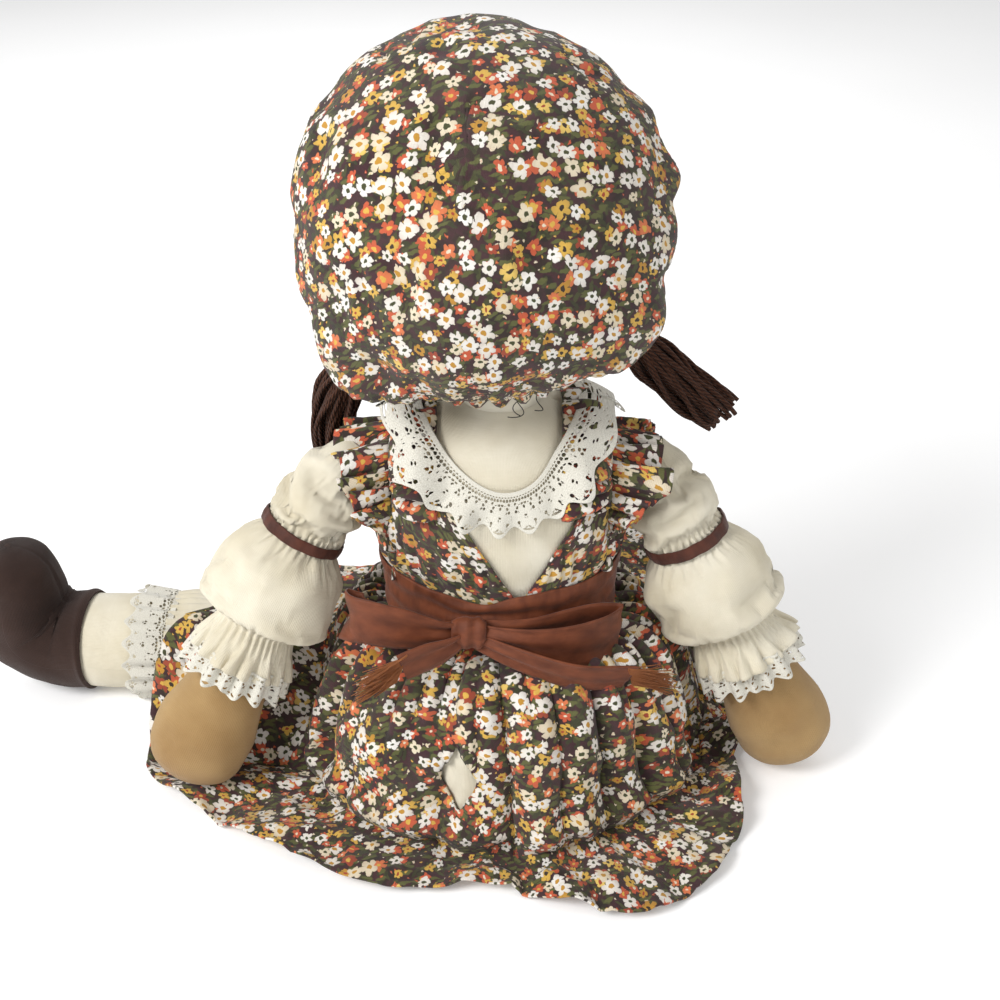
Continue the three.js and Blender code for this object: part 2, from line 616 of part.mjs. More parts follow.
// Legs: each stands in its own group at the hip, with +X along the leg and z up from the floor.
const LEG_AXIS_HEIGHT = LEG_RADIUS + GAP + COTTON;
function hipSeat(side) {
  const angle = degToRad(HIP_SEAT_ANGLE);
  const [a, b] = [HIP_WIDTH / 2, HIP_DEPTH / 2];
  const out = new THREE.Vector2(Math.cos(angle) / a, Math.sin(angle) / b).setLength(LEG_ROOT_RADIUS);
  return point(side * (a * Math.cos(angle) + out.x), -(b * Math.sin(angle) + out.y), 0);
}
const onFloor = (rings, floor) => rings.map((ring) => ring.map((p) => p.setZ(Math.max(p.z, floor))));
function addLeg(name, side) {
  const leg = new THREE.Group();
  leg.position.copy(hipSeat(side));
  leg.rotation.z = degToRad(LEG_TURNS[name]);
  doll.add(leg);
  const across = point(0, 1, 0);
  const axis = (x) => point(x, 0, LEG_AXIS_HEIGHT);
  const thigh = LEG_ROOT_RADIUS * 1.6;

  const shin = new THREE.LineCurve3(axis(0), axis(LEG_LENGTH));
  const legStations = [
    ...rootStations(LEG_ROOT_RADIUS),
    [thigh, LEG_RADIUS, LEG_RADIUS],
    [LEG_LENGTH * 0.6, LEG_RADIUS, LEG_RADIUS],
    [LEG_LENGTH, ANKLE_RADIUS, ANKLE_RADIUS],
  ];
  const legOut = limbRings(shin, legStations, across);
  const legIn = limbRings(shin, inset(legStations, SKIN), across);
  piece(leg, `leg_skin_${name}`, tube(legOut, legIn), MUSLIN);

  const heel = LEG_LENGTH + BOOT_ANKLE_RUN + BOOT_HEEL_RADIUS * 0.6;
  const toe = BOOT_HEIGHT - BOOT_TOE_RADIUS;
  const footPath = new THREE.CatmullRomCurve3([
    axis(LEG_LENGTH + GAP),
    axis(LEG_LENGTH + BOOT_ANKLE_RUN),
    point(heel, 0, lerp(LEG_AXIS_HEIGHT, toe, 0.28)),
    point(heel + BOOT_TOE_LEAN, 0, toe),
  ]);
  const run = footPath.getLength();
  const boot = [
    [0, ANKLE_RADIUS, ANKLE_RADIUS],
    [BOOT_ANKLE_RUN * 0.8, BOOT_ANKLE_WIDTH / 2, LEG_RADIUS],
    [run * 0.5, BOOT_HEEL_RADIUS, BOOT_HEEL_RADIUS],
    [run * 0.75, BOOT_HEEL_RADIUS, BOOT_HEEL_RADIUS - BOOT_TOE_WIDENING],
    [run, BOOT_TOE_RADIUS + BOOT_TOE_WIDENING, BOOT_TOE_RADIUS],
    ...domeStations(run, BOOT_TOE_RADIUS + BOOT_TOE_WIDENING, BOOT_TOE_RADIUS, BOOT_TOE_RADIUS),
  ];
  const footRings = (by, sides) => onFloor(limbRings(footPath, inset(boot, by), across, sides), by);
  piece(leg, `boot_${name}`, bag(footRings(0).toReversed(), footRings(SKIN).toReversed()), BOOT_BROWN);

  const filling = SKIN + GAP;
  const legFilling = limbRings(shin, inset(legStations, filling), across, LIMB_SIDES / 2);
  const stuffing = loft([...legFilling, ...footRings(filling, LIMB_SIDES / 2)]);
  piece(leg, `leg_stuffing_${name}`, stuffing, FILLING);

  const clear = LEG_RADIUS + GAP + COTTON;
  const cuff = [
    [thigh * 0.5, clear, clear],
    [lerp(thigh, PANTALETTE_LENGTH, 0.5), clear + PANTALETTE_FULLNESS, clear + PANTALETTE_FULLNESS],
    [PANTALETTE_LENGTH, clear, clear],
  ];
  const cuffRings = (by) => onFloor(limbRings(shin, inset(cuff, by), across), by);
  piece(leg, `pantalette_${name}`, tube(cuffRings(0), cuffRings(COTTON)), MUSLIN);

  const lace = [0, 0.5, 1].map((t) => {
    const radius = LEG_RADIUS + GAP + LACE + PANTALETTE_LACE_FLARE * t;
    return [PANTALETTE_LENGTH + GAP + t * PANTALETTE_LACE_WIDTH, radius, radius];
  });
  const laceRings = (by) => onFloor(limbRings(shin, inset(lace, by), across), GAP + by);
  piece(leg, `pantalette_lace_${name}`, tube(laceRings(0), laceRings(LACE)), LACE_WHITE);
}

// Skirt: gathered at the waist, belled over the seat, lying over the legs and out on the floor
const hemShare = around(HEM_SPREAD);
const legLines = ["left", "right"].map((name, i) => ({
  hip: hipSeat(i === 0 ? 1 : -1),
  along: point(1, 0, 0).applyAxisAngle(point(0, 0, 1), degToRad(LEG_TURNS[name])),
}));

// How high the cloth has to lie at a place to pass over the legs
function overLegs(x, y) {
  const top = LEG_AXIS_HEIGHT + LEG_RADIUS + GAP + COTTON + 2 + SKIRT_LEG_EASE;
  const heights = legLines.map(({ hip, along }) => {
    const from = point(x, y, 0).sub(hip);
    const ahead = from.dot(along);
    const aside = from.addScaledVector(along, -ahead).length();
    const started = smoothstep(ahead, -1.8 * LEG_ROOT_RADIUS, -0.2 * LEG_ROOT_RADIUS);
    return top * started * (1 - smoothstep(aside, LEG_RADIUS * 1.1, LEG_RADIUS * 2.6));
  });
  return Math.max(...heights);
}
const softMax = (a, b, ease) => (a + b + Math.sqrt((a - b) ** 2 + ease * ease)) / 2;
const SKIRT_LIE = 1.2;
const SKIRT_TUCK = 0.07; // the share of the sheet that runs down inside the sash
const SKIRT_FOOT = 0.58; // the share of the sheet down to where it lies flat
function skirtBase(angle, t) {
  const waist = onTorso(angle, WAIST_SEAM, GAP);
  const belowSash = SASH_BOTTOM - COTTON - 2 * GAP;
  if (t <= SKIRT_TUCK) return waist.setZ(lerp(WAIST_SEAM, belowSash, t / SKIRT_TUCK));
  const bell = [[SKIRT_TUCK, 0, 1], [0.18, 0.55, 0.9], [0.32, 0.95, 0.52], [0.46, 1.15, 0.14]];
  const reach = Math.max(SKIRT_LENGTH * hemShare(angle), SKIRT_BELL * 1.8);
  const bellOut = bell.map(([at, out]) => [at, out * SKIRT_BELL]);
  const bellUp = bell.map(([at, , up]) => [at, up * belowSash]);
  const spread = through([...bellOut, [SKIRT_FOOT, SKIRT_BELL * 1.45], [1, reach]]);
  const hang = through([...bellUp, [SKIRT_FOOT, SKIRT_LIE], [1, SKIRT_LIE]]);
  const out = point(waist.x, waist.y, 0).normalize();
  const at = waist.addScaledVector(out, spread(t));
  const legs = overLegs(at.x, at.y);
  return at.setZ(Math.min(softMax(hang(t), legs, 24 * smoothstep(legs, 0, 24)), belowSash));
}
function skirtSheet(angle, t, lift) {
  const [aside, ahead] = [Math.PI / ROUND, 0.05];
  const round = skirtBase(angle + aside, t).sub(skirtBase(angle - aside, t));
  const [above, below] = [Math.max(t - ahead, SKIRT_TUCK), Math.min(t + ahead, 1)];
  const down = skirtBase(angle, below).sub(skirtBase(angle, above));
  const away = point(Math.cos(angle), Math.sin(angle), t <= SKIRT_TUCK ? 0 : 1).normalize();
  const out = t <= SKIRT_TUCK ? away : down.cross(round).normalize().addScaledVector(away, 0.8).normalize();
  const made = skirtBase(angle, t);
  const fold = 0.5 - 0.5 * Math.cos(SKIRT_FOLDS * angle + 1.5 * Math.sin(2 * angle));
  const beside = onTorso(angle, WAIST_SEAM, SKIRT_BELL * 1.6);
  const taut = smoothstep(overLegs(beside.x, beside.y), 2, LEG_RADIUS);
  const free = smoothstep(t, 0.1, 0.4) * (1 - 0.4 * smoothstep(t, 0.5, 0.7)) * (1 - taut);
  made.addScaledVector(out, SKIRT_FOLD_DEPTH * fold * free + lift);
  return made.setZ(Math.max(made.z, lift));
}
function addSkirt() {
  const sides = 2 * ROUND;
  const shares = [0, SKIRT_TUCK, 0.13, 0.2, 0.28, 0.36, 0.44, 0.51, SKIRT_FOOT, 0.7, 0.85, 1];
  const rings = (lift) => shares.map((t) => range(sides).map((i) => skirtSheet(turn(i, sides), t, lift)));
  const [width, height] = PLACKET_OPENING;
  const diamond = outline([
    [PLACKET_OFFSET, PLACKET_HEIGHT - height / 2],
    [PLACKET_OFFSET + width / 2, PLACKET_HEIGHT - height / 5],
    [PLACKET_OFFSET, PLACKET_HEIGHT + height / 2],
    [PLACKET_OFFSET - width / 2, PLACKET_HEIGHT - height / 8],
  ]);
  const cut = block(diamond, HIP_DEPTH / 2, HIP_DEPTH / 2 + SKIRT_LENGTH);
  piece(doll, "skirt", geometryOf(solid(tube(rings(COTTON), rings(0))).subtract(cut)), PRINT);
}

// Head: its group turns about the middle of the neck ball.
const head = new THREE.Group();
head.position.set(0, 0, NECK_HEIGHT);
head.rotation.y = degToRad(HEAD_LEAN);
doll.add(head);
const headMiddle = point(0, 0, HEAD_HEIGHT / 2 - 2);
const capAxis = point(0, Math.sin(degToRad(CAP_AXIS_BACK)), Math.cos(degToRad(CAP_AXIS_BACK)));
const capFront = point(0, -capAxis.z, capAxis.y);

// The place on the head at an angle from the cap's axis and round it, out from the skin
function onHead(angle, round, out) {
  const toward = capFront
    .clone()
    .multiplyScalar(Math.cos(round))
    .add(point(Math.sin(round), 0, 0))
    .multiplyScalar(Math.sin(angle))
    .addScaledVector(capAxis, Math.cos(angle));
  const [a, b, c] = [HEAD_WIDTH / 2, HEAD_DEPTH / 2, HEAD_HEIGHT / 2];
  const reach = 1 / Math.hypot(toward.x / a, toward.y / b, toward.z / c);
  return toward.multiplyScalar(reach + out).add(headMiddle);
}
const headRing = (angle, out, sides = ROUND) =>
  range(sides).map((i) => {
    const round = turn(i, sides);
    const value = (given) => (typeof given === "function" ? given(round) : given);
    return onHead(degToRad(value(angle)), round, value(out));
  });
const neckBall = (out) =>
  solid(new THREE.SphereGeometry(NECK_BALL_RADIUS + out, ROUND, 12).rotateX(Math.PI / 2));
const HEAD_ANGLES = [7, 27, 48, 69, 90, 111, 132, 153, 173];
const headBall = (out, sides = ROUND) =>
  solid(loft(HEAD_ANGLES.map((angle) => headRing(angle, out, sides))));
function addHead() {
  const skin = headBall(0).subtract(headBall(-SKIN)).subtract(neckBall(GAP));
  piece(head, "head_skin", geometryOf(skin), TAN_COTTON);
  const filling = headBall(-SKIN - GAP, ROUND / 2).subtract(neckBall(GAP));
  piece(head, "head_stuffing", geometryOf(filling), FILLING);
}

// The place out from the skin along its normal, for a place given from the head's middle
const onEllipsoid = (x, y, z, out) => {
  const [a, b, c] = [HEAD_WIDTH / 2, HEAD_DEPTH / 2, HEAD_HEIGHT / 2];
  const normal = point(x / a ** 2, y / b ** 2, z / c ** 2).normalize();
  return point(x, y, z).addScaledVector(normal, out).add(headMiddle);
};

// Eyes: low domes sewn on the face
function addEyes() {
  for (const [name, side] of [["eye_left", 1], ["eye_right", -1]]) {
    const dome = [[0, -EYE_DOME], [EYE_DIAMETER / 2, -EYE_DOME], [EYE_DIAMETER / 2, 0]];
    dome.push([EYE_DIAMETER * 0.36, EYE_DOME * 0.75], [0, EYE_DOME]);
    const lathe = new THREE.LatheGeometry(dome.map(([r, h]) => new THREE.Vector2(r, h)), 12);
    const [a, b, c] = [HEAD_WIDTH / 2, HEAD_DEPTH / 2, HEAD_HEIGHT / 2];
    const [x, z] = [(side * EYE_SPACING) / 2, -EYE_DROP];
    const y = -b * Math.sqrt(1 - (x / a) ** 2 - (z / c) ** 2);
    const seat = onEllipsoid(x, y, z, GAP);
    const facing = seat.clone().sub(onEllipsoid(x, y, z, 0)).normalize();
    lathe.applyQuaternion(new THREE.Quaternion().setFromUnitVectors(point(0, 1, 0), facing));
    const eye = solid(lathe.translate(seat.x, seat.y, seat.z)).subtract(headBall(GAP));
    piece(head, name, geometryOf(eye), EYE_BLACK);
  }
}

// Yarn hair: a band round the face from under the cap's rim, with a tuft at each pigtail's root
function hairBand(out) {
  const fromTuft = (round) => (Math.abs(Math.sin(round / 2)) - TUFT_PLACE) / TUFT_SPREAD;
  const tuft = (round) => HAIR_TUFT * Math.exp(-(fromTuft(round) ** 2));
  const shown = (round) => CAP_RIM_ANGLE + HAIR_SHOWN * (0.6 + 0.4 * Math.cos(round)) + tuft(round);
  const between = (t) => (round) => lerp(CAP_RIM_ANGLE, shown(round), t);
  const rims = [CAP_RIM_ANGLE - HAIR_HIDDEN, ...[0, 0.33, 0.67, 1].map(between)];
  const [outer, inner] = [out, -HAIR_THICKNESS].map((by) => rims.map((angle) => headRing(angle, by)));
  return solid(tube(outer, inner));
}
function addHair() {
  piece(head, "hair", geometryOf(hairBand(HAIR_THICKNESS).subtract(headBall(GAP))), YARN_BROWN);
}

// Cap: a puffed crown with folds drawn in to the rim, and the gathered casing round the rim
const CAP_SEAT = HAIR_THICKNESS + GAP;
function addCap() {
  const angles = [5, 22, 40, 57, 71, 83, 93, CAP_RIM_ANGLE];
  const crown = (lift) =>
    angles.map((angle) => {
      const loose = smoothstep(CAP_RIM_ANGLE - angle, 0, 24);
      const deep = CAP_FOLD_DEPTH * loose * smoothstep(angle, 20, 70);
      const fold = (round) => deep * Math.sin(CAP_FOLDS * round);
      return headRing(angle, (round) => CAP_SEAT + CAP_PUFF * loose + fold(round) + lift);
    });
  piece(head, "cap_crown", bag(crown(COTTON), crown(0)), PRINT);
  const reach = THREE.MathUtils.radToDeg(CAP_BAND_WIDTH / (HEAD_WIDTH / 2));
  const away = THREE.MathUtils.radToDeg(GAP / (HEAD_WIDTH / 2));
  const rims = [0, 0.5, 1].map((t) => CAP_RIM_ANGLE + away + reach * t);
  const roll = (lift) => rims.map((angle, i) => headRing(angle, CAP_SEAT + lift * (i === 1 ? 2 : 1)));
  const under = rims.map((angle) => headRing(angle, CAP_SEAT));
  piece(head, "cap_band", tube(roll(COTTON), under), PRINT);
}

// Pigtails: hanks of yarn from under the cap's sides, tied at the top, falling in front of the shoulders
const PIGTAIL_PATHS = {
  left: [[0, 0, 0], [14, -18, -24], [28, -31, -60], [28, -33, -100]],
  right: [[0, 0, 0], [-6, -10, -20], [-26, -16, -44], [-48, -18, -68]],
};
function addPigtail(name, side) {
  const [y, z] = [-HEAD_DEPTH / 12, -PIGTAIL_DROP];
  const half = (HEAD_WIDTH / 2) * Math.sqrt(1 - (y / (HEAD_DEPTH / 2)) ** 2 - (z / (HEAD_HEIGHT / 2)) ** 2);
  const start = onEllipsoid(side * half, y, z, HAIR_THICKNESS + PIGTAIL_TIE_RADIUS * 0.6);
  const line = new THREE.CatmullRomCurve3(PIGTAIL_PATHS[name].map((p) => point(...p).add(start)));
  const length = line.getLength();
  const across = point(0, 1, 0);
  const [tie, full] = [PIGTAIL_TIE_RADIUS, PIGTAIL_RADIUS];
  const hank = [
    ...domeStations(0, tie, tie, -tie).reverse(),
    [length * 0.2, tie * 0.97, tie * 0.97],
    [length * 0.4, full, full * 0.85],
    [length * 0.75, full, full * 0.85],
    [length, full * 0.75, full * 0.6],
  ];
  const whole = solid(loft(limbRings(line, hank, across, 12)));
  const rooted = whole.subtract(hairBand(HAIR_THICKNESS + GAP)).subtract(headBall(HAIR_THICKNESS));
  piece(head, `pigtail_${name}`, geometryOf(rooted), YARN_BROWN);
  const knot = [0.06, 0.18].map((t) => [length * t, tie + GAP + RIBBON, tie + GAP + RIBBON]);
  const inside = knot.map(([d]) => [d, tie + GAP, tie + GAP]);
  const ring = tube(limbRings(line, knot, across, 12), limbRings(line, inside, across, 12));
  piece(head, `hair_tie_${name}`, ring, YARN_BROWN);
}

addTorso();
addBodice();
addCollar();
addStraps();
addRuffles();
addSkirt();
addSash();
addBow();
addHead();
addEyes();
addHair();
addCap();
for (const [name, side] of [["left", 1], ["right", -1]]) {
  addPigtail(name, side);
  addArm(name, ARM_POSES[name]);
  addLeg(name, side);
}

export default doll;
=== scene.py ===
# The looks of a seated rag doll in a print pinafore and cap. Sizes here are in millimetres, in the
# part's frame, and become metres where a mesh is made.
import json
import math

import bpy
import numpy as np
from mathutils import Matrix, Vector, noise


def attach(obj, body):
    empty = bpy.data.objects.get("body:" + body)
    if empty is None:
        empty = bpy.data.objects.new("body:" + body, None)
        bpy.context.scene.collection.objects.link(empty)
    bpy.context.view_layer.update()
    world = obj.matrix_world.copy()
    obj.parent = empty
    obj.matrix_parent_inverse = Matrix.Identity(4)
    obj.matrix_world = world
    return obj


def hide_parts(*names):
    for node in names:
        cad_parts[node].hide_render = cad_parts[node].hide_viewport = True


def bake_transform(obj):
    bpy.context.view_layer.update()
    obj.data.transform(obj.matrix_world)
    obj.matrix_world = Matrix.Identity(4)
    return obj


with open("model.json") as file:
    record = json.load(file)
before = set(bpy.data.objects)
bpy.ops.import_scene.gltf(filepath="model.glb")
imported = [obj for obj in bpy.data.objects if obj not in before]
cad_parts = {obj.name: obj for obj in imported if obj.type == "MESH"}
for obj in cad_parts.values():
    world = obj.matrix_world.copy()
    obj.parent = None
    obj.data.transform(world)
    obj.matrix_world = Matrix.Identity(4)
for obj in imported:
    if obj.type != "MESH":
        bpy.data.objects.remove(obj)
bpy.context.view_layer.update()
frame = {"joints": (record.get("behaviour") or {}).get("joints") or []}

MM = 0.001
TURN = 2 * math.pi
RNG = np.random.default_rng(7)
SIDES = {"left": 1, "right": -1}

# Cloth thicknesses and the gap that lying pieces keep
COTTON = 1.2
RIBBON = 0.9
LACE = 0.22
GAP = 0.5
# One unit of the cloth simulation
SIM_UNIT = 100
# The least width given to a sheet's flat cut; a narrower sheet still gives its own area
NARROWEST = 10.1
# The step of the grid that lace is traced on
LACE_STEP = 0.5
# How many points a smooth line has between two of those it goes through
PATH_SAMPLES = 60
# How far cloth that lies on the floor stays above it
ON_FLOOR = COTTON + 0.2
# The angles of the rings that round off the root of a limb
ROOT_ANGLES = (80, 54, 36, 18)

# Torso sections: full width and depth at the hips, waist, chest and shoulders
HIPS = (116, 80)
WAIST = (116, 84)
CHEST = (128, 84)
SHOULDERS = (124, 74)
SEAT_ROUNDING = 14
SEAT_FLAT = 26
HIP_HEIGHT = 64
WAIST_HEIGHT = 118
CHEST_HEIGHT = 168
SHOULDER_HEIGHT = 202
NECK_RADIUS = 21
NECK_BALL_RADIUS = 25
NECK_HEIGHT = 248
NECK_BASE = NECK_HEIGHT - math.sqrt(NECK_BALL_RADIUS ** 2 - NECK_RADIUS ** 2)
SLOPE_SHARE = 0.6
SLOPE_HEIGHT = SHOULDER_HEIGHT + SLOPE_SHARE * (NECK_BASE - SHOULDER_HEIGHT)

# Head and cap, in the head's own frame at the neck ball's middle
HEAD = (150, 140, 154)
HEAD_LEAN = math.radians(6)
HEAD_MIDDLE = np.array([0, 0, HEAD[2] / 2 - 2])
HAIR_THICKNESS = 4
HAIR_STRANDS = 92
HAIR_POINTS = 14
NAPE_STRANDS = 17
YARN_RADIUS = 1.25
CAP_AXIS = math.radians(50)
CAP_RIM = 102
CAP_SEAT = HAIR_THICKNESS + GAP
CAP_PUFF = 5.5
CAP_BAND = 8

# Arms
ARM_ROOT = 11.5
SLEEVE_ROOT = 13.5
UPPER_ARM = 51
FOREARM = 141
FOREARM_RADIUS = 19
HAND = (57, 46)
SLEEVE_PUFFS = (8, 13)
SLEEVE_RIBBON = 7
CUFF_FRILL = 20
CUFF_FLARE = 5
CUFF_LACE = 15
ARM_POSES = {
    "left": {"side": 1, "out": 34, "back": 7, "reach_back": 30, "hand_rest": 10},
    "right": {"side": -1, "out": 27, "back": 6, "reach_back": 12, "hand_rest": 2},
}

# Legs
LEG_ROOT = 22
LEG_RADIUS = 29
LEG_LENGTH = 190
LEG_AXIS = 31
LEG_TURNS = {"left": math.radians(-5), "right": math.radians(-82)}
PANTALETTE = 134
PANTALETTE_LACE = 27
BOOT_HEIGHT = 99
BOOT_ANKLE = 20
BOOT_HEEL = 30
BOOT_TOE = 25

# Pinafore
BODICE_TOP = 188
WAIST_SEAM = 114
BACK_V = (-10, 66, 132)
STRAP_INNER = 34
STRAP_WIDTH = 21
RUFFLE_WIDTH = 20
COLLAR_WIDTH = 66
COLLAR_SCOOPS = (43, 26)
COLLAR_LACE = 21
COLLAR_LENGTH = 310.0
SKIRT_LENGTH = 185
HEM_SPREAD = (
    0.8, 0.68, 0.54, 0.47, 0.4, 0.57, 0.54, 0.44,
    0.44, 0.5, 0.58, 0.72, 0.67, 0.63, 0.66, 0.63,
)
SKIRT_BELL = 34
PLACKET = (22, 50, 21, 40)
# How many columns to each side even out the skirt's flat cut
CUT_EASE = 14
# Where the hem is drawn back over the left leg, how far as a share of the skirt's length, and how wide
HEM_DRAWN = (math.radians(-10), 0.075, 0.93)
SASH_BOTTOM = 106
SASH_WIDTH = 34
BOW_OFFSET = 16
FRAY_LENGTH = 24
FRAY_THREADS = 80
# The ribbon's widths along a loop of the bow, and along a tail
LOOP_WIDTHS = (9, 18, 27, 29, 28, 24, 15, 9)
TAIL_WIDTHS = (8, 16, 22, 24)

# The view: how high the camera looks from, from how far and at what height, and half its angle
CAMERA_ELEVATION = math.radians(33)
CAMERA_DISTANCE = 0.7305
CAMERA_TARGET = Vector((0, 0, 0.169))
CAMERA_HALF_ANGLE = math.radians(20)
FLOOR_REACH = 6.0

JOINT_AT = {j["name"]: np.array(j["pos_m"]) / MM for j in frame["joints"]}


# Curves and small numbers
def smooth(x, low, high):
    t = np.clip((np.asarray(x, float) - low) / (high - low), 0, 1)
    return t * t * (3 - 2 * t)


def lerp(a, b, t):
    return a + (b - a) * t


def through(pairs):
    """A smooth curve through (place, value) pairs that never overshoots them."""
    xs, ys = np.array(pairs, float).T
    steps = np.diff(ys) / np.diff(xs)
    slopes = np.zeros(len(xs))
    slopes[0], slopes[-1] = steps[0], steps[-1]
    for i in range(1, len(xs) - 1):
        before, after = steps[i - 1], steps[i]
        slopes[i] = 2 * before * after / (before + after) if before * after > 0 else 0

    def curve(x):
        x = np.asarray(x, float)
        i = np.clip(np.searchsorted(xs, x, side="right") - 1, 0, len(xs) - 2)
        span = xs[i + 1] - xs[i]
        t = np.clip((x - xs[i]) / span, 0, 1)
        rise = ys[i] * (1 + 2 * t) * (1 - t) ** 2 + ys[i + 1] * t * t * (3 - 2 * t)
        return rise + span * t * (1 - t) * (slopes[i] * (1 - t) - slopes[i + 1] * t)

    return curve


def around(values):
    """A smooth closed curve through values spaced evenly round a turn."""
    values = np.array(values, float)
    n = len(values)

    def curve(angle):
        place = (np.asarray(angle, float) / TURN % 1) * n
        i = np.floor(place).astype(int) % n
        t = place - np.floor(place)
        a, b, c, d = (values[(i + k) % n] for k in (-1, 0, 1, 2))
        return b + 0.5 * t * (c - a + t * (2 * a - 5 * b + 4 * c - d + t * (3 * (b - c) + d - a)))

    return curve


def ripple(points, size, seed):
    """Smooth noise from -1 to 1 at each point, with bumps of about that size."""
    flat = np.asarray(points, float).reshape(-1, 3) / size + 17.3 * seed
    values = [noise.noise(Vector(p)) for p in flat]
    return np.array(values).reshape(np.shape(points)[:-1])


def grid(rows, cols):
    """Row and column numbers as two arrays."""
    return np.meshgrid(rows, cols, indexing="ij")


def stack(x, y, z):
    return np.stack(np.broadcast_arrays(x, y, z), axis=-1).astype(float)


def unit(vectors):
    """Vectors at a length of 1."""
    return vectors / np.maximum(np.linalg.norm(vectors, axis=-1, keepdims=True), 1e-9)


def pushed(points, out, lift):
    """Points moved along directions, each by its own length."""
    return points + out * lift[..., None]


def spans(points, axis=0):
    """The distances between neighbours along an axis of a grid of points."""
    return np.linalg.norm(np.diff(points, axis=axis), axis=-1)


def running(steps):
    """The sum of steps up to each one, from 0."""
    return np.concatenate([[0], np.cumsum(steps)])


def full_turn(count):
    """Angles spaced evenly round a turn."""
    return np.linspace(0, TURN, count, endpoint=False)


def compass(angle):
    """Level directions at angles."""
    return stack(np.cos(angle), np.sin(angle), 0 * angle)


def heading(angle):
    """The x and y of the level direction at one angle."""
    return np.array([math.cos(angle), math.sin(angle)])


def hump(x, middle, width):
    """A bell curve of height 1."""
    return np.exp(-((x - middle) / width) ** 2)


def rested(points, floor):
    """Points set down on the floor, pressed flat where they would go under it."""
    made = points.copy()
    made[..., 2] = np.maximum(made[..., 2], floor)
    return made


def normals(points, wrap):
    """Unit normals of a grid of points, by the directions along its columns and rows."""
    down = np.gradient(points, axis=0)
    if wrap:
        across = (np.roll(points, -1, axis=1) - np.roll(points, 1, axis=1)) / 2
    else:
        across = np.gradient(points, axis=1)
    return unit(np.cross(across, down))


class Path:
    """A smooth line through points, read by distance along it."""

    def __init__(self, points):
        p = np.array(points, float)
        p = np.vstack([2 * p[0] - p[1], p, 2 * p[-1] - p[-2]])
        made = []
        for a, b, c, d in zip(p, p[1:], p[2:], p[3:]):
            ab, bc, cd = (max(np.linalg.norm(q - r), 1e-6) ** 0.5 for q, r in ((a, b), (b, c), (c, d)))
            leave = ((b - a) / ab - (c - a) / (ab + bc) + (c - b) / bc) * bc
            arrive = ((c - b) / bc - (d - b) / (bc + cd) + (d - c) / cd) * bc
            t = np.linspace(0, 1, PATH_SAMPLES, endpoint=False)[:, None]
            cubic = (2 * b - 2 * c + leave + arrive) * t ** 3
            made.append(cubic + (3 * c - 3 * b - 2 * leave - arrive) * t ** 2 + leave * t + b)
        self.line = np.vstack([*made, p[-2:-1]])
        self.far = running(spans(self.line))
        self.length = self.far[-1]
        self.along = np.gradient(self.line, self.far, axis=0)

    def at(self, distance):
        """Places and directions at distances, going straight on past the ends."""
        d = np.asarray(distance, float)
        inside = np.clip(d, 0, self.length)
        place, along = (
            np.stack([np.interp(inside, self.far, column) for column in values.T], axis=-1)
            for values in (self.line, self.along)
        )
        along = unit(along)
        return pushed(place, along, d - inside), along


# Meshes
def cloth_lengths(points, wrap):
    """The cloth's own coordinates on a grid: mean lengths along its rows and its columns."""
    closed = np.concatenate([points, points[:, :1]], axis=1) if wrap else points
    us, vs = running(spans(closed, 1).mean(axis=0)), running(spans(closed).mean(axis=1))
    return np.stack(grid(vs, us)[::-1], axis=-1)


def linked(name, data):
    """A new object in the scene."""
    obj = bpy.data.objects.new(name, data)
    bpy.context.scene.collection.objects.link(obj)
    return obj


def cloth_mesh(name, points, faces, places):
    """A mesh in metres, with each corner's place on the flat cloth as its UV map."""
    mesh = bpy.data.meshes.new(name)
    mesh.from_pydata((np.array(points) * MM).tolist(), [], faces)
    layer = mesh.uv_layers.new(name="cloth")
    layer.data.foreach_set("uv", (np.array(places) * MM).ravel())
    mesh.update()
    return mesh


def finished(name, mesh, material, thickness=0.0, offset=-1.0):
    """An object of one material, smoothly shaded and as thick as its cloth."""
    obj = linked(name, mesh)
    mesh.materials.append(material)
    mesh.polygons.foreach_set("use_smooth", np.ones(len(mesh.polygons), bool))
    if thickness:
        thick = obj.modifiers.new("thickness", "SOLIDIFY")
        thick.thickness = thickness * MM
        thick.offset = offset
    return obj


def grid_faces(shape, wrap, keep=None):
    """The faces of a grid: the row and column of each of their corners, and the corners' numbers."""
    rows, cols = shape[:2]
    j, i = grid(np.arange(rows - 1), np.arange(cols if wrap else cols - 1))
    if keep is not None:
        j, i = j[keep], i[keep]
    j, i = j.ravel(), i.ravel()
    corners = [(j, i), (j, i + 1), (j + 1, i + 1), (j + 1, i)]
    return corners, np.stack([a * cols + b % cols for a, b in corners], axis=-1).tolist()


def surface(name, points, material, wrap=False, ends=(), uv=None, keep=None, **finish):
    """A mesh from a grid of points, with the cloth's own coordinates in metres as its UV map.
    ends names the rows, first or last, that close in a fan, and keep marks the faces to make."""
    rows, cols = points.shape[:2]
    uv = cloth_lengths(points, wrap) if uv is None else uv
    corners, faces = grid_faces(points.shape, wrap, keep)
    places = np.stack([uv[a, b] for a, b in corners], axis=1).reshape(-1, 2).tolist()
    verts = points.reshape(-1, 3).tolist()
    for end in ends:
        row = 0 if end == "first" else rows - 1
        ring = [row * cols + k for k in range(cols)]
        middle = len(verts)
        verts.append(points[row].mean(axis=0).tolist())
        for k in range(cols):
            pair = [ring[k], ring[(k + 1) % cols]]
            pair = pair[::-1] if end == "first" else pair
            faces.append([middle, *pair])
            places.extend([uv[row, k].tolist()] * 3)
    used = sorted({k for f in faces for k in f})
    number = {k: n for n, k in enumerate(used)}
    faces = [[number[k] for k in f] for f in faces]
    return finished(name, cloth_mesh(name, np.array(verts)[used], faces, places), material, **finish)


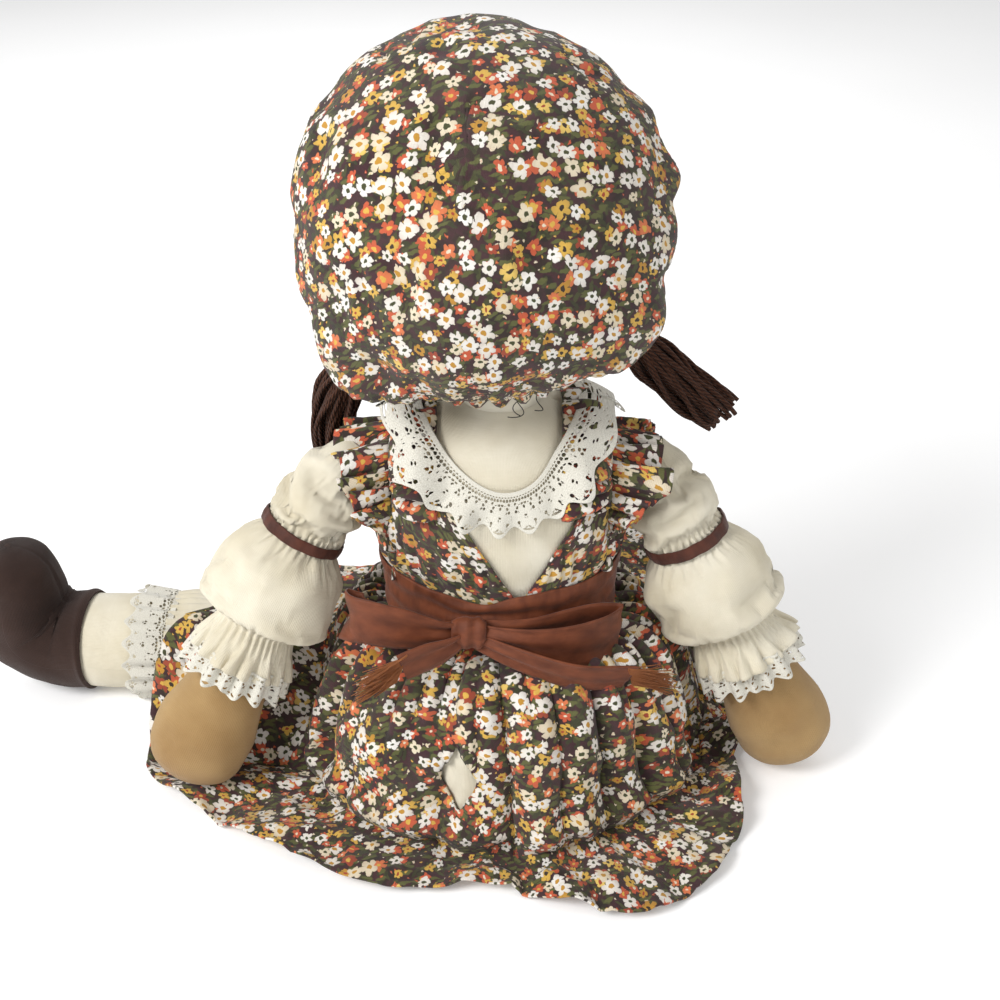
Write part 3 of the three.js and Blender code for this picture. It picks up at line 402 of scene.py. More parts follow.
def sim_object(name, points, wrap):
    """A plain mesh for the cloth simulation, in decimetres, which suits its default settings."""
    mesh = bpy.data.meshes.new(name)
    mesh.from_pydata((points.reshape(-1, 3) / SIM_UNIT).tolist(), [], grid_faces(points.shape, wrap)[1])
    return linked(name, mesh)


def settled(jobs, obstacles, frames):
    """Grids of cloth after a short simulation. Each is held where its pins are 1, cut larger than its
    place by its ease, pushed out by a little pressure, and kept near where it began."""
    scene = bpy.context.scene
    scene.frame_start, scene.frame_end = 1, frames
    temporary, cloths = [], []
    for points, wrap in obstacles:
        obj = sim_object("obstacle", points, wrap)
        obj.modifiers.new("stop", "COLLISION")
        obj.collision.thickness_outer = 0.008
        temporary.append(obj)
    for job in jobs:
        obj = sim_object("cloth", job["points"], job["wrap"])
        pins = obj.vertex_groups.new(name="pins")
        held = np.round(np.broadcast_to(job["pins"], job["points"].shape[:2]).ravel(), 1)
        for weight in np.unique(held[held > 0]):
            pins.add(np.flatnonzero(held == weight).tolist(), float(weight), "REPLACE")
        cloth = obj.modifiers.new("cloth", "CLOTH")
        made = cloth.settings
        made.quality = 6
        made.mass = 0.25
        made.tension_stiffness = made.compression_stiffness = job.get("stiff", 25)
        made.shear_stiffness = 8
        made.bending_stiffness = job.get("bend", 0.3)
        made.tension_damping = made.compression_damping = made.shear_damping = 20
        made.air_damping = 3
        made.shrink_min = made.shrink_max = -job["ease"]
        made.use_pressure = job["pressure"] != 0
        made.uniform_pressure_force = job["pressure"]
        made.effector_weights.gravity = job.get("gravity", 0.0)
        made.vertex_group_mass = "pins"
        cloth.collision_settings.distance_min = 0.008
        cloth.collision_settings.collision_quality = 2
        cloth.point_cache.frame_start, cloth.point_cache.frame_end = 1, frames
        temporary.append(obj)
        cloths.append(obj)
    for frame_number in range(1, frames + 1):
        scene.frame_set(frame_number)
    graph = bpy.context.evaluated_depsgraph_get()
    results = []
    for job, obj in zip(jobs, cloths):
        made = obj.evaluated_get(graph).to_mesh()
        flat = np.zeros(len(made.vertices) * 3)
        made.vertices.foreach_get("co", flat)
        moved = flat.reshape(job["points"].shape) * SIM_UNIT - job["points"]
        far = np.linalg.norm(moved, axis=-1, keepdims=True)
        results.append(job["points"] + moved * np.minimum(1, job["reach"] / np.maximum(far, 1e-6)))
    for obj in temporary:
        mesh = obj.data
        bpy.data.objects.remove(obj)
        bpy.data.meshes.remove(mesh)
    scene.frame_set(1)
    return results


def flat_size(obj):
    """The width, length and area of a sheet's flat cut, in metres, from its UV map, with the cut turned
    to fit the smallest rectangle."""
    mesh = obj.data
    uv = np.zeros(len(mesh.loops) * 2)
    mesh.uv_layers[0].data.foreach_get("uv", uv)
    uv = uv.reshape(-1, 2)
    area = 0.0
    for face in mesh.polygons:
        x, y = uv[list(face.loop_indices)].T
        area += abs(np.dot(x, np.roll(y, -1)) - np.dot(y, np.roll(x, -1))) / 2
    turns = np.radians(np.arange(0, 90, 5))
    turned = [uv @ np.array([[math.cos(a), -math.sin(a)], [math.sin(a), math.cos(a)]]) for a in turns]
    size = min((np.ptp(place, axis=0) for place in turned), key=np.prod)
    size = np.maximum(size, NARROWEST * MM)
    return tuple(float(s) for s in size), float(min(area, size[0] * size[1]))


def cloth_piece(obj, body=None, replaces=()):
    """A sheet of cloth, with the size of its flat cut worked out, dressed onto its body in place of the
    parts it replaces.
    """
    flat, area = flat_size(obj)
    return dressed(obj, body, replaces)


def stuffed_piece(obj, body=None, replaces=()):
    return dressed(obj, body, replaces)


def dressed(obj, body=None, replaces=()):
    if replaces:
        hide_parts(*replaces)
    if body:
        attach(obj, body)
    return obj


def strands(name, paths, radii, material, sides=6):
    """Many round strands as one mesh: each path is rows of points, each radius a number or a list."""
    verts, faces, places = [], [], []
    for path, radius in zip(paths, radii):
        path = np.array(path, float)
        along = unit(np.gradient(path, axis=0))
        side = np.cross(along[0], [0.31, 0.52, 0.79])
        rows = len(path)
        thick = np.broadcast_to(radius, rows)
        far = running(spans(path))
        start = len(verts)
        for k in range(rows):
            side = unit(side - along[k] * np.dot(side, along[k]))
            other = np.cross(along[k], side)
            for n in range(sides):
                a = TURN * n / sides
                verts.append(path[k] + thick[k] * (math.cos(a) * side + math.sin(a) * other))
        for k in range(rows - 1):
            low, high = start + k * sides, start + (k + 1) * sides
            for n in range(sides):
                m = (n + 1) % sides
                faces.append([low + n, low + m, high + m, high + n])
                a, b = 2.0 * n, 2.0 * (n + 1)
                places += [(a, far[k]), (b, far[k]), (b, far[k + 1]), (a, far[k + 1])]
        first, last = ([ring + n for n in range(sides)] for ring in (start, start + (rows - 1) * sides))
        faces += [first[::-1], last]
        places += [(0.0, 0.0)] * (2 * sides)
    return finished(name, cloth_mesh(name, verts, faces, places), material)


# Materials
class Graph:
    """A material's nodes, made one call at a time."""

    def __init__(self, name, roughness, sheen=0.0):
        self.material = bpy.data.materials.new(name)
        self.material.use_nodes = True
        self.nodes = self.material.node_tree.nodes
        self.links = self.material.node_tree.links
        self.shader = self.nodes["Principled BSDF"]
        self.fill(self.shader, Roughness=roughness, Sheen_Weight=sheen)
        self.fill(self.shader, Sheen_Roughness=0.5, Specular_IOR_Level=0.25)

    def put(self, socket, value):
        if isinstance(value, bpy.types.NodeSocket):
            self.links.new(value, socket)
        elif value is not None:
            socket.default_value = value

    def fill(self, made, **values):
        """Give a node's inputs their values by name, with an underscore for each space."""
        for name, value in values.items():
            self.put(made.inputs[name.replace("_", " ")], value)
        return made

    def node(self, kind, *values, **settings):
        made = self.nodes.new(kind)
        for key, value in settings.items():
            setattr(made, key, value)
        for socket, value in zip(made.inputs, values):
            self.put(socket, value)
        return made

    def math(self, operation, *values, clamp=False):
        return self.node("ShaderNodeMath", *values, operation=operation, use_clamp=clamp).outputs[0]

    def vector(self, operation, *values):
        return self.node("ShaderNodeVectorMath", *values, operation=operation)

    def mix(self, share, a, b):
        made = self.nodes.new("ShaderNodeMix")
        made.data_type = "RGBA"
        self.put(made.inputs[0], share)
        self.put(made.inputs[6], a)
        self.put(made.inputs[7], b)
        return made.outputs[2]

    def steps(self, share, stops, smooth_steps=False):
        made = self.node("ShaderNodeValToRGB", share)
        ramp = made.color_ramp
        ramp.interpolation = "LINEAR" if smooth_steps else "CONSTANT"
        while len(ramp.elements) < len(stops):
            ramp.elements.new(0.5)
        for element, (place, color) in zip(ramp.elements, stops):
            element.position = place
            element.color = color
        return made.outputs[0]

    def cloth_place(self):
        """The place on the flat cloth, in millimetres."""
        uv = self.node("ShaderNodeUVMap", uv_map="cloth").outputs[0]
        return self.vector("SCALE", uv, None, None, 1000.0).outputs[0]

    def place(self):
        """The place in the part's frame, in millimetres."""
        at = self.node("ShaderNodeTexCoord").outputs["Object"]
        return self.vector("SCALE", at, None, None, 1000.0).outputs[0]

    def noise(self, where, size, detail=3.0):
        made = self.node("ShaderNodeTexNoise")
        return self.fill(made, Vector=where, Scale=1.0 / size, Detail=detail, Roughness=0.5).outputs[0]

    def wave(self, where, size, direction):
        made = self.node("ShaderNodeTexWave", bands_direction=direction, wave_profile="SIN")
        self.fill(made, Vector=where, Scale=TURN / 20 / size, Distortion=0.6, Detail=1.0)
        return made.outputs["Fac"]

    def cells(self, where, pitch, randomness=1.0):
        """A scatter of cells on the cloth: their middles, and three numbers of each one's own."""
        made = self.node("ShaderNodeTexVoronoi", voronoi_dimensions="2D", feature="F1")
        self.fill(made, Vector=where, Scale=1.0 / pitch, Randomness=randomness)
        return made.outputs["Position"], self.node("ShaderNodeSeparateColor", made.outputs["Color"]).outputs

    def rotated(self, where, angle):
        made = self.node("ShaderNodeVectorRotate", where, rotation_type="Z_AXIS")
        return self.fill(made, Angle=angle).outputs[0]

    def weave(self, where, pitch):
        """Height of a plain weave: warp and weft threads that pass over each other."""
        warp = self.wave(where, pitch, "X")
        weft = self.wave(where, pitch, "Y")
        return self.math("MULTIPLY_ADD", warp, 0.5, self.math("MULTIPLY", weft, 0.5))

    def grooved(self, color, weave, share, dark):
        """A color that is darker between the threads."""
        return self.mix(self.math("MULTIPLY", self.math("SUBTRACT", 1.0, weave), share), color, rgb(dark))

    def finish(self, color, height, depth):
        bump = self.fill(self.node("ShaderNodeBump"), Strength=1.0, Distance=depth * MM, Height=height)
        self.fill(self.shader, Base_Color=color, Normal=bump.outputs[0])
        return self.material


def rgb(code):
    """A linear color from a six-figure hexadecimal one."""
    parts = [int(code[k:k + 2], 16) / 255 for k in (0, 2, 4)]
    return tuple(p / 12.92 if p <= 0.04045 else ((p + 0.055) / 1.055) ** 2.4 for p in parts) + (1.0,)


def plain_cloth(name, light, dark, pitch, roughness=0.9, sheen=0.15, stain=None):
    """Plain woven cotton: slubs and soft mottling over the weave."""
    g = Graph(name, roughness, sheen)
    cloth, place = g.cloth_place(), g.place()
    tone = g.steps(g.noise(place, 38, 4.0), [(0.3, rgb(dark)), (0.72, rgb(light))], True)
    slub = g.noise(g.vector("MULTIPLY", cloth, (0.25, 3.0, 1.0)).outputs[0], 3.0, 2.0)
    color = g.mix(g.math("MULTIPLY", slub, 0.22), tone, rgb(dark))
    weave = g.weave(cloth, pitch)
    color = g.grooved(color, weave, 0.25, dark)
    if stain:
        color = stain(g, place, color)
    height = g.math("MULTIPLY_ADD", slub, 0.6, weave)
    return g.finish(color, height, 0.22)


def flower_layer(g, cloth, below, pitch, size, petals, colors, hearts, share, shift):
    """Flowers scattered on the cloth over the color below. Each cell of a scatter holds one flower or
    none, with its own size, turn and color."""
    moved = g.vector("ADD", cloth, (shift, 0.7 * shift, 0.0)).outputs[0]
    middle, lot = g.cells(moved, pitch, 0.85)
    away = g.vector("SUBTRACT", moved, middle).outputs[0]
    part = g.node("ShaderNodeSeparateXYZ", away)
    reach = g.vector("LENGTH", away).outputs["Value"]
    angle = g.math("ARCTAN2", part.outputs[1], part.outputs[0])
    turned = g.math("MULTIPLY_ADD", lot[2], 6.0, angle)
    lobes = g.math("ABSOLUTE", g.math("COSINE", g.math("MULTIPLY", turned, petals / 2)))
    wide = g.math("MULTIPLY_ADD", lot[1], 0.45 * size, 0.6 * size)
    edge = g.math("MULTIPLY", wide, g.math("MULTIPLY_ADD", g.math("POWER", lobes, 0.7), 0.5, 0.5))
    inside = g.math("MULTIPLY", g.math("SUBTRACT", edge, reach), 3.5, clamp=True)
    grows = g.math("LESS_THAN", lot[0], share)
    petal = g.steps(g.math("DIVIDE", lot[0], share), colors)
    fade = g.math("DIVIDE", reach, size, clamp=True)
    shaded = g.mix(g.math("MULTIPLY", g.math("POWER", fade, 2.0), 0.3), petal, rgb("8a5a3a"))
    color = g.mix(g.math("MULTIPLY", inside, grows), below, shaded)
    heart = g.math("SUBTRACT", g.math("MULTIPLY", wide, 0.3), reach)
    heart = g.math("MULTIPLY", g.math("MULTIPLY", heart, 4.0, clamp=True), grows)
    return g.mix(heart, color, g.steps(lot[1], hearts))


def leaf_layer(g, cloth, below, pitch, turn, color, share, shift):
    """Narrow leaves that point one way, over the color below."""
    turned = g.rotated(cloth, turn)
    thin = g.vector("MULTIPLY_ADD", turned, (0.36, 1.0, 1.0), (shift, shift, 0.0)).outputs[0]
    middle, lot = g.cells(thin, pitch)
    reach = g.vector("DISTANCE", thin, middle).outputs["Value"]
    edge = g.math("SUBTRACT", 0.36 * pitch, reach)
    inside = g.math("MULTIPLY", edge, 3.0, clamp=True)
    grows = g.math("LESS_THAN", lot[0], share)
    return g.mix(g.math("MULTIPLY", inside, grows), below, color)


def print_cloth():
    """Cotton with a small scattered flower print on a dark plum ground."""
    g = Graph("print_cotton", 0.88, 0.12)
    cloth = place = g.cloth_place()
    for scale, reach in ((0.09, 5.0), (0.34, 2.6)):
        wander = g.fill(g.node("ShaderNodeTexNoise"), Vector=place, Scale=scale)
        pulled = g.vector("SUBTRACT", wander.outputs["Color"], (0.5, 0.5, 0.5)).outputs[0]
        cloth = g.vector("MULTIPLY_ADD", pulled, (reach, reach, 0.0), cloth).outputs[0]
    ground = [(0.36, rgb("1a1110")), (0.5, rgb("3a1422")), (0.64, rgb("231510"))]
    color = g.steps(g.noise(place, 9.0, 2.0), ground, True)
    for turn, shade, shift in ((0.5, "3d4220", 0.0), (2.2, "2c3118", 31.0), (1.35, "565a2c", 57.0)):
        color = leaf_layer(g, cloth, color, 3.3, turn, rgb(shade), 0.62, shift)
    white, cream = rgb("f1ece2"), rgb("e9dcc0")
    yellow, gold = rgb("dcb14a"), rgb("c4902e")
    coral, rust = rgb("cb5634"), rgb("a03d26")
    green, dark = rgb("39401c"), rgb("2a1c14")
    specks = [(0.0, cream), (0.45, coral), (0.7, yellow)]
    corals = [(0.0, coral), (0.55, rust), (0.8, rgb("e07848"))]
    yellows = [(0.0, yellow), (0.6, gold), (0.85, rgb("ecc968"))]
    whites = [(0.0, white), (0.6, cream), (0.85, rgb("f6f3ec"))]
    layers = (
        (4.2, 0.95, 3, specks, specks, 0.5, 11.0),
        (8.2, 4.3, 5, corals, [(0.0, cream), (0.6, yellow)], 0.44, 23.0),
        (8.6, 4.2, 5, yellows, [(0.0, rust), (0.55, dark)], 0.3, 41.0),
        (9.8, 5.2, 5, whites, [(0.0, green), (0.6, gold)], 0.62, 67.0),
    )
    for layer in layers:
        color = flower_layer(g, cloth, color, *layer)
    weave = g.weave(place, 0.55)
    color = g.grooved(color, weave, 0.28, "1a1210")
    worn = g.noise(g.place(), 26, 3.0)
    color = g.mix(g.math("MULTIPLY", worn, 0.1), color, rgb("b8a898"))
    return g.finish(color, weave, 0.16)


def ribbon_cloth(name, light, dark, roughness):
    """Woven ribbon: fine cross ribs, a low sheen and streaks along its length."""
    g = Graph(name, roughness, 0.08)
    cloth = g.cloth_place()
    streak = g.noise(g.vector("MULTIPLY", cloth, (1.1, 0.5, 1.0)).outputs[0], 6.0, 4.0)
    color = g.steps(streak, [(0.3, rgb(dark)), (0.7, rgb(light))], True)
    rib = g.weave(cloth, 0.45)
    color = g.grooved(color, rib, 0.2, dark)
    return g.finish(color, g.math("MULTIPLY_ADD", streak, 0.5, rib), 0.08)


def yarn_cloth(name, light, dark, pitch=2.4):
    """Spun yarn: plies that wind round each strand, with loose fibres."""
    g = Graph(name, 0.95, 0.06)
    cloth = g.cloth_place()
    ply = g.wave(g.rotated(cloth, 0.9), pitch, "Y")
    fibre = g.noise(g.vector("MULTIPLY", cloth, (2.0, 0.4, 1.0)).outputs[0], 1.0, 3.0)
    tone = g.math("MULTIPLY_ADD", fibre, 0.6, g.math("MULTIPLY", ply, 0.4))
    color = g.steps(tone, [(0.25, rgb(dark)), (0.8, rgb(light))], True)
    return g.finish(color, g.math("MULTIPLY_ADD", fibre, 0.5, ply), 0.5)


def lace_thread():
    """White lace thread with a fine twist."""
    g = Graph("lace", 0.85, 0.2)
    cloth = g.cloth_place()
    thread = g.noise(cloth, 0.5, 2.0)
    color = g.steps(thread, [(0.25, rgb("b9b5a8")), (0.7, rgb("dcd9ce"))], True)
    return g.finish(color, thread, 0.2)


def blushed(g, place, color):
    """Soft cheeks on the face, and cream cloth where the head is sewn round the neck."""
    for cheek in CHEEKS:
        reach = g.vector("DISTANCE", place, tuple(cheek)).outputs["Value"]
        near = g.math("SUBTRACT", 1.0, g.math("DIVIDE", reach, 15.0), clamp=True)
        color = g.mix(g.math("MULTIPLY", g.math("POWER", near, 1.4), 0.5), color, rgb("b4573c"))
    reach = g.vector("DISTANCE", place, (0.0, 0.0, NECK_HEIGHT)).outputs["Value"]
    sewn = g.math("DIVIDE", g.math("SUBTRACT", NECK_BALL_RADIUS + 10.0, reach), 2.0, clamp=True)
    return g.mix(sewn, color, rgb("ddd6c4"))


# The torso's surface
def torso_section(k):
    half = [size[k] / 2 for size in (HIPS, WAIST, CHEST, SHOULDERS)]
    slope = lerp(half[3], NECK_RADIUS, 1 - SLOPE_SHARE)
    heights = (HIP_HEIGHT, WAIST_HEIGHT, CHEST_HEIGHT, SHOULDER_HEIGHT)
    pairs = [(SEAT_ROUNDING, half[0]), *zip(heights, half), (SLOPE_HEIGHT, slope), (NECK_BASE, NECK_RADIUS)]
    return through(pairs)


half_width, half_depth = torso_section(0), torso_section(1)


def on_torso(angle, z, out):
    return stack((half_width(z) + out) * np.cos(angle), (half_depth(z) + out) * np.sin(angle), z)


def shoulder_top(x, out):
    """The height where a layer that far out from the torso is only x wide."""
    z = np.linspace(NECK_BASE, SHOULDER_HEIGHT, 400)
    return np.interp(x, half_width(z) + out, z)


def over_shoulder(x, u, bottom, out):
    """A line over the shoulder at one x, from the front at u = -1 to the back at u = 1."""
    z = lerp(shoulder_top(x, out), bottom, np.abs(u) ** 1.6)
    angle = np.sign(u) * np.arccos(np.clip(x / (half_width(z) + out), -1, 1))
    return stack(np.broadcast_to(x, np.shape(u)), (half_depth(z) + out) * np.sin(angle), z)


# The head's surface
def placed_head(points):
    """From the head's own frame to the part's frame."""
    x, y, z = np.moveaxis(np.asarray(points, float), -1, 0)
    c, s = math.cos(HEAD_LEAN), math.sin(HEAD_LEAN)
    return stack(x * c + z * s, y, z * c - x * s + NECK_HEIGHT)


def on_head(angle, turned, out):
    """The place at an angle in degrees from the cap's axis, turned round it from the front."""
    angle = np.radians(angle)
    axis = np.array([0, math.sin(CAP_AXIS), math.cos(CAP_AXIS)])
    front = np.array([0, -axis[2], axis[1]])
    flat = np.cos(turned)[..., None] * front + np.sin(turned)[..., None] * np.array([1, 0, 0])
    toward = np.sin(angle)[..., None] * flat + np.cos(angle)[..., None] * axis
    half = np.array(HEAD) / 2
    reach = 1 / np.linalg.norm(toward / half, axis=-1)
    return toward * (reach + out)[..., None] + HEAD_MIDDLE


def on_face(x, z, out):
    """The place on the front of the head, for x and z from its middle."""
    half = np.array(HEAD) / 2
    x, z = np.broadcast_arrays(np.asarray(x, float), np.asarray(z, float))
    y = -half[1] * np.sqrt(np.maximum(1 - (x / half[0]) ** 2 - (z / half[2]) ** 2, 0.01))
    at = stack(x, y, z)
    return placed_head(pushed(at, unit(at / half ** 2), np.asarray(out)) + HEAD_MIDDLE)


CHEEKS = on_face(np.array([34.0, -34.0]), np.array([-24.0, -24.0]), np.zeros(2))

MUSLIN = plain_cloth("muslin", "e6e0cf", "c9bfa6", 0.7)
TAN = plain_cloth("tan_cotton", "b39566", "937348", 0.6)
FACE = plain_cloth("face_cotton", "b39566", "937348", 0.6, stain=blushed)
BOOT = plain_cloth("boot_cotton", "433029", "2b1d18", 0.7, 0.95, 0.08)
PRINT = print_cloth()
SASH = ribbon_cloth("ribbon", "7b4126", "552813", 0.5)
DARK_RIBBON = ribbon_cloth("sleeve_ribbon", "5a2f20", "3a1b12", 0.55)
FRAY = yarn_cloth("frayed_ribbon", "e2935a", "b9652f", 0.8)
YARN = yarn_cloth("yarn", "573320", "25120a")
LACE_WHITE = lace_thread()
EYE = yarn_cloth("eye_thread", "2a211c", "0c0907", 0.7)
MOUTH = yarn_cloth("mouth_thread", "8c3d31", "662720", 0.7)
GLINT = yarn_cloth("glint_thread", "f4f0e6", "dad4c6", 0.7)


def add_torso():
    """The sewn and stuffed body, down to the flat seat."""
    rings = [(0.0, -SEAT_ROUNDING - (1 - share) * SEAT_FLAT) for share in (0.02, 0.3, 0.6, 0.85)]
    for angle in np.radians(np.linspace(0, 90, 8)):
        rings.append((SEAT_ROUNDING * (1 - math.cos(angle)), -SEAT_ROUNDING * (1 - math.sin(angle))))
    rings += [(z, 0.0) for z in np.linspace(SEAT_ROUNDING + 3, NECK_BASE, 64)]
    angles = full_turn(128)
    made = []
    for z, out in rings:
        level = np.full_like(angles, max(z, SEAT_ROUNDING))
        made.append(on_torso(angles, level, out) * [1, 1, 0] + [0, 0, z])
    for angle in np.radians((-14, 10, 34, 58, 76)):
        wide, z = NECK_BALL_RADIUS * math.cos(angle), NECK_HEIGHT + NECK_BALL_RADIUS * math.sin(angle)
        made.append(stack(wide * np.cos(angles), wide * np.sin(angles), z))
    points = np.array(made)
    out = normals(points, True)
    z = points[..., 2]
    free = smooth(z, 6, 30)
    side_seam = hump(points[..., 1], 0, 1.6)
    pulled = ripple(points * [0.55, 0.55, 1.7], 24, 1) * 1.3
    pulled = pulled + ripple(points * [0.5, 0.5, 1.2], 11, 2) * 0.45
    points = pushed(points, out, (pulled - 0.9 * side_seam) * free)
    obj = surface("torso", points, MUSLIN, wrap=True, ends=("first", "last"))
    stuffed_piece(obj, "torso", ("torso_skin", "torso_stuffing"))
    return points


def add_head():
    """The stuffed head, with its face sewn on."""
    latitude, angle = grid(np.radians(np.linspace(-88, 88, 64)), full_turn(120))
    half = np.array(HEAD) / 2
    at = stack(np.cos(latitude) * np.cos(angle), np.cos(latitude) * np.sin(angle), np.sin(latitude)) * half
    chin = smooth(-at[..., 2], 20, 70) * smooth(-at[..., 1], 10, 60)
    at[..., 1] -= 3.0 * chin
    points = placed_head(at + HEAD_MIDDLE)
    points = pushed(points, normals(points, True), ripple(points, 30, 3) * 0.8)
    low = np.linalg.norm(points - [0, 0, NECK_HEIGHT], axis=-1)
    push = np.maximum(NECK_BALL_RADIUS + 0.6 - low, 0)[..., None]
    points = points + push * (points - [0, 0, NECK_HEIGHT]) / np.maximum(low, 1)[..., None]
    obj = surface("head", points, FACE, wrap=True, ends=("first", "last"))
    stuffed_piece(obj, "head", ("head_skin", "head_stuffing"))


def stitched_dome(name, x, z, wide, tall, high, material):
    """A low oval dome of close stitches on the face."""
    share, angle = grid(np.linspace(1, 0.04, 10), full_turn(28))
    rise = high * np.sqrt(np.maximum(1 - share ** 2, 0)) + 0.1 * np.cos(14 * angle) * (share > 0.2)
    points = on_face(x + share * wide / 2 * np.cos(angle), z + share * tall / 2 * np.sin(angle), rise)
    return surface(name, points, material, wrap=True, ends=("last",), thickness=0.4)


def stitched_line(name, xs, zs, radius, material):
    """A sewn line on the face, as one thick thread."""
    place = Path(np.stack([xs, np.zeros(len(xs)), zs], axis=-1))
    at, _ = place.at(np.linspace(0, place.length, 40))
    ends = 0.35 + 0.65 * smooth(np.minimum(np.arange(40), np.arange(40)[::-1]), 0, 5)
    return strands(name, [on_face(at[:, 0], at[:, 2], np.full(40, 0.3))], [radius * ends], material, 8)


def add_face():
    for name, side in SIDES.items():
        eye = stitched_dome(f"eye_{name}_stitches", side * 25.0, -4.0, 10.0, 12.5, 2.2, EYE)
        dressed(eye, "head", (f"eye_{name}",))
        glint = stitched_dome(f"eye_{name}_glint", side * 25.0 - 1.6, -1.2, 2.6, 2.6, 2.5, GLINT)
        dressed(glint, "head")
        brow_x = side * np.array([15.0, 22.0, 30.0, 36.0])
        brow = stitched_line(f"brow_{name}", brow_x, np.array([11.0, 14.5, 14.0, 10.5]), 0.7, EYE)
        dressed(brow, "head")
    nose = stitched_line("nose", np.array([-4.0, 0.0, 4.0]), np.array([-17.5, -19.5, -17.5]), 0.7, MOUTH)
    dressed(nose, "head")
    mouth_x = np.array([-15.0, -8.0, 0.0, 8.0, 15.0])
    mouth = stitched_line("mouth", mouth_x, np.array([-31.0, -35.0, -36.5, -35.0, -31.0]), 1.0, MOUTH)
    dressed(mouth, "head")


def add_hair():
    """Yarn laid round the face from under the cap, each strand with a soft wave, and along the nape."""
    paths = []
    for turned in np.linspace(-2.62, 2.62, HAIR_STRANDS):
        fringe = 21 * (0.6 + 0.4 * math.cos(turned))
        tuft = 20 * math.exp(-(((abs(math.sin(turned / 2)) - 0.88) / 0.1) ** 2))
        for layer in range(2):
            last = CAP_RIM + (fringe + tuft) * RNG.uniform(0.86, 1.06)
            angles = np.linspace(CAP_RIM - 10, last, HAIR_POINTS)
            sway = turned + 0.03 * np.sin(np.linspace(0, 5, HAIR_POINTS) + RNG.uniform(0, 6))
            sway = sway + RNG.uniform(-0.02, 0.02)
            wave = 0.5 * np.sin(np.linspace(0, 7, HAIR_POINTS) + RNG.uniform(0, 6))
            paths.append(placed_head(on_head(angles, sway, 1.3 + 1.5 * layer + wave)))
    turned = np.linspace(2.3, TURN - 2.3, 30)
    for row in np.linspace(CAP_RIM + 2, CAP_RIM + 25, NAPE_STRANDS):
        sway = 0.8 * np.sin(3 * turned + RNG.uniform(0, 6))
        out = np.full_like(turned, 1.2 + RNG.uniform(0, 0.6))
        paths.append(placed_head(on_head(row + sway, turned, out)))
    obj = strands("hair_strands", paths, [YARN_RADIUS] * len(paths), YARN)
    dressed(obj, "head", ("hair",))


PIGTAILS = {
    "left": ((0, 0, 0), (18, -16, -25), (33, -28, -61), (32, -30, -101)),
    "right": ((0, 0, 0), (-8, -10, -24), (-28, -14, -50), (-52, -15, -74)),
}
PIGTAIL_DROP = 50
PIGTAIL_RADIUS = 13
PIGTAIL_TIE = 7
PIGTAIL_STRANDS = 64
PIGTAIL_POINTS = 26
TIE_TURNS = 5


def pigtail_root(side):
    y, z = -HEAD[1] / 12, -PIGTAIL_DROP
    half = np.array(HEAD) / 2
    x = side * half[0] * math.sqrt(1 - (y / half[1]) ** 2 - (z / half[2]) ** 2)
    at = np.array([x, y, z])
    return at + unit(at / half ** 2) * (HAIR_THICKNESS + 5) + HEAD_MIDDLE


def add_pigtail(name, side):
    """A hank of yarn, tied near its root, with its cut ends spread."""
    line = Path(np.array(PIGTAILS[name]) + pigtail_root(side))
    far = np.linspace(-6, line.length, PIGTAIL_POINTS)
    at, along = line.at(far)
    across = unit(np.array([0, 1.0, 0]) - along * along[:, 1:2])
    other = np.cross(along, across)
    share = far / line.length
    tied = PIGTAIL_TIE / PIGTAIL_RADIUS
    spread = through([(-0.1, 0.5), (0.12, tied), (0.22, 0.55), (0.5, 1), (0.8, 1), (1, 0.9)])
    paths = []
    for k in range(PIGTAIL_STRANDS):
        reach = math.sqrt((k + 0.5) / PIGTAIL_STRANDS) * (PIGTAIL_RADIUS - 1)
        wander = 2.4 * k + 1.6 * share + 0.25 * np.sin(6 * share + k)
        wide = reach * spread(share) * (1 + 0.12 * np.sin(9 * share + 1.7 * k))
        points = pushed(pushed(at, across, wide * np.cos(wander)), other, wide * np.sin(wander))
        paths.append(placed_head(points[:int(PIGTAIL_POINTS - RNG.integers(0, 3))]))
    hank = strands(f"pigtail_{name}_strands", paths, [YARN_RADIUS] * PIGTAIL_STRANDS, YARN)
    turns = np.linspace(0, TURN, 25)[:, None]
    wide = PIGTAIL_TIE + 1.6
    ring = across[4] * (wide * np.cos(turns)), other[4] * (wide * np.sin(turns))
    tie = []
    for k in range(TIE_TURNS):
        place, _ = line.at(np.full(25, line.length * (0.08 + 0.022 * k)))
        tie.append(placed_head(place + ring[0] + ring[1]))
    knot = strands(f"hair_tie_{name}_yarn", tie, [1.2] * TIE_TURNS, YARN)
    dressed(knot, "head", (f"hair_tie_{name}",))
    dressed(hank, None, (f"pigtail_{name}",))
    root, tip = placed_head(line.at(0.2 * line.length)[0]), placed_head(line.at(line.length)[0])
    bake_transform(hank)


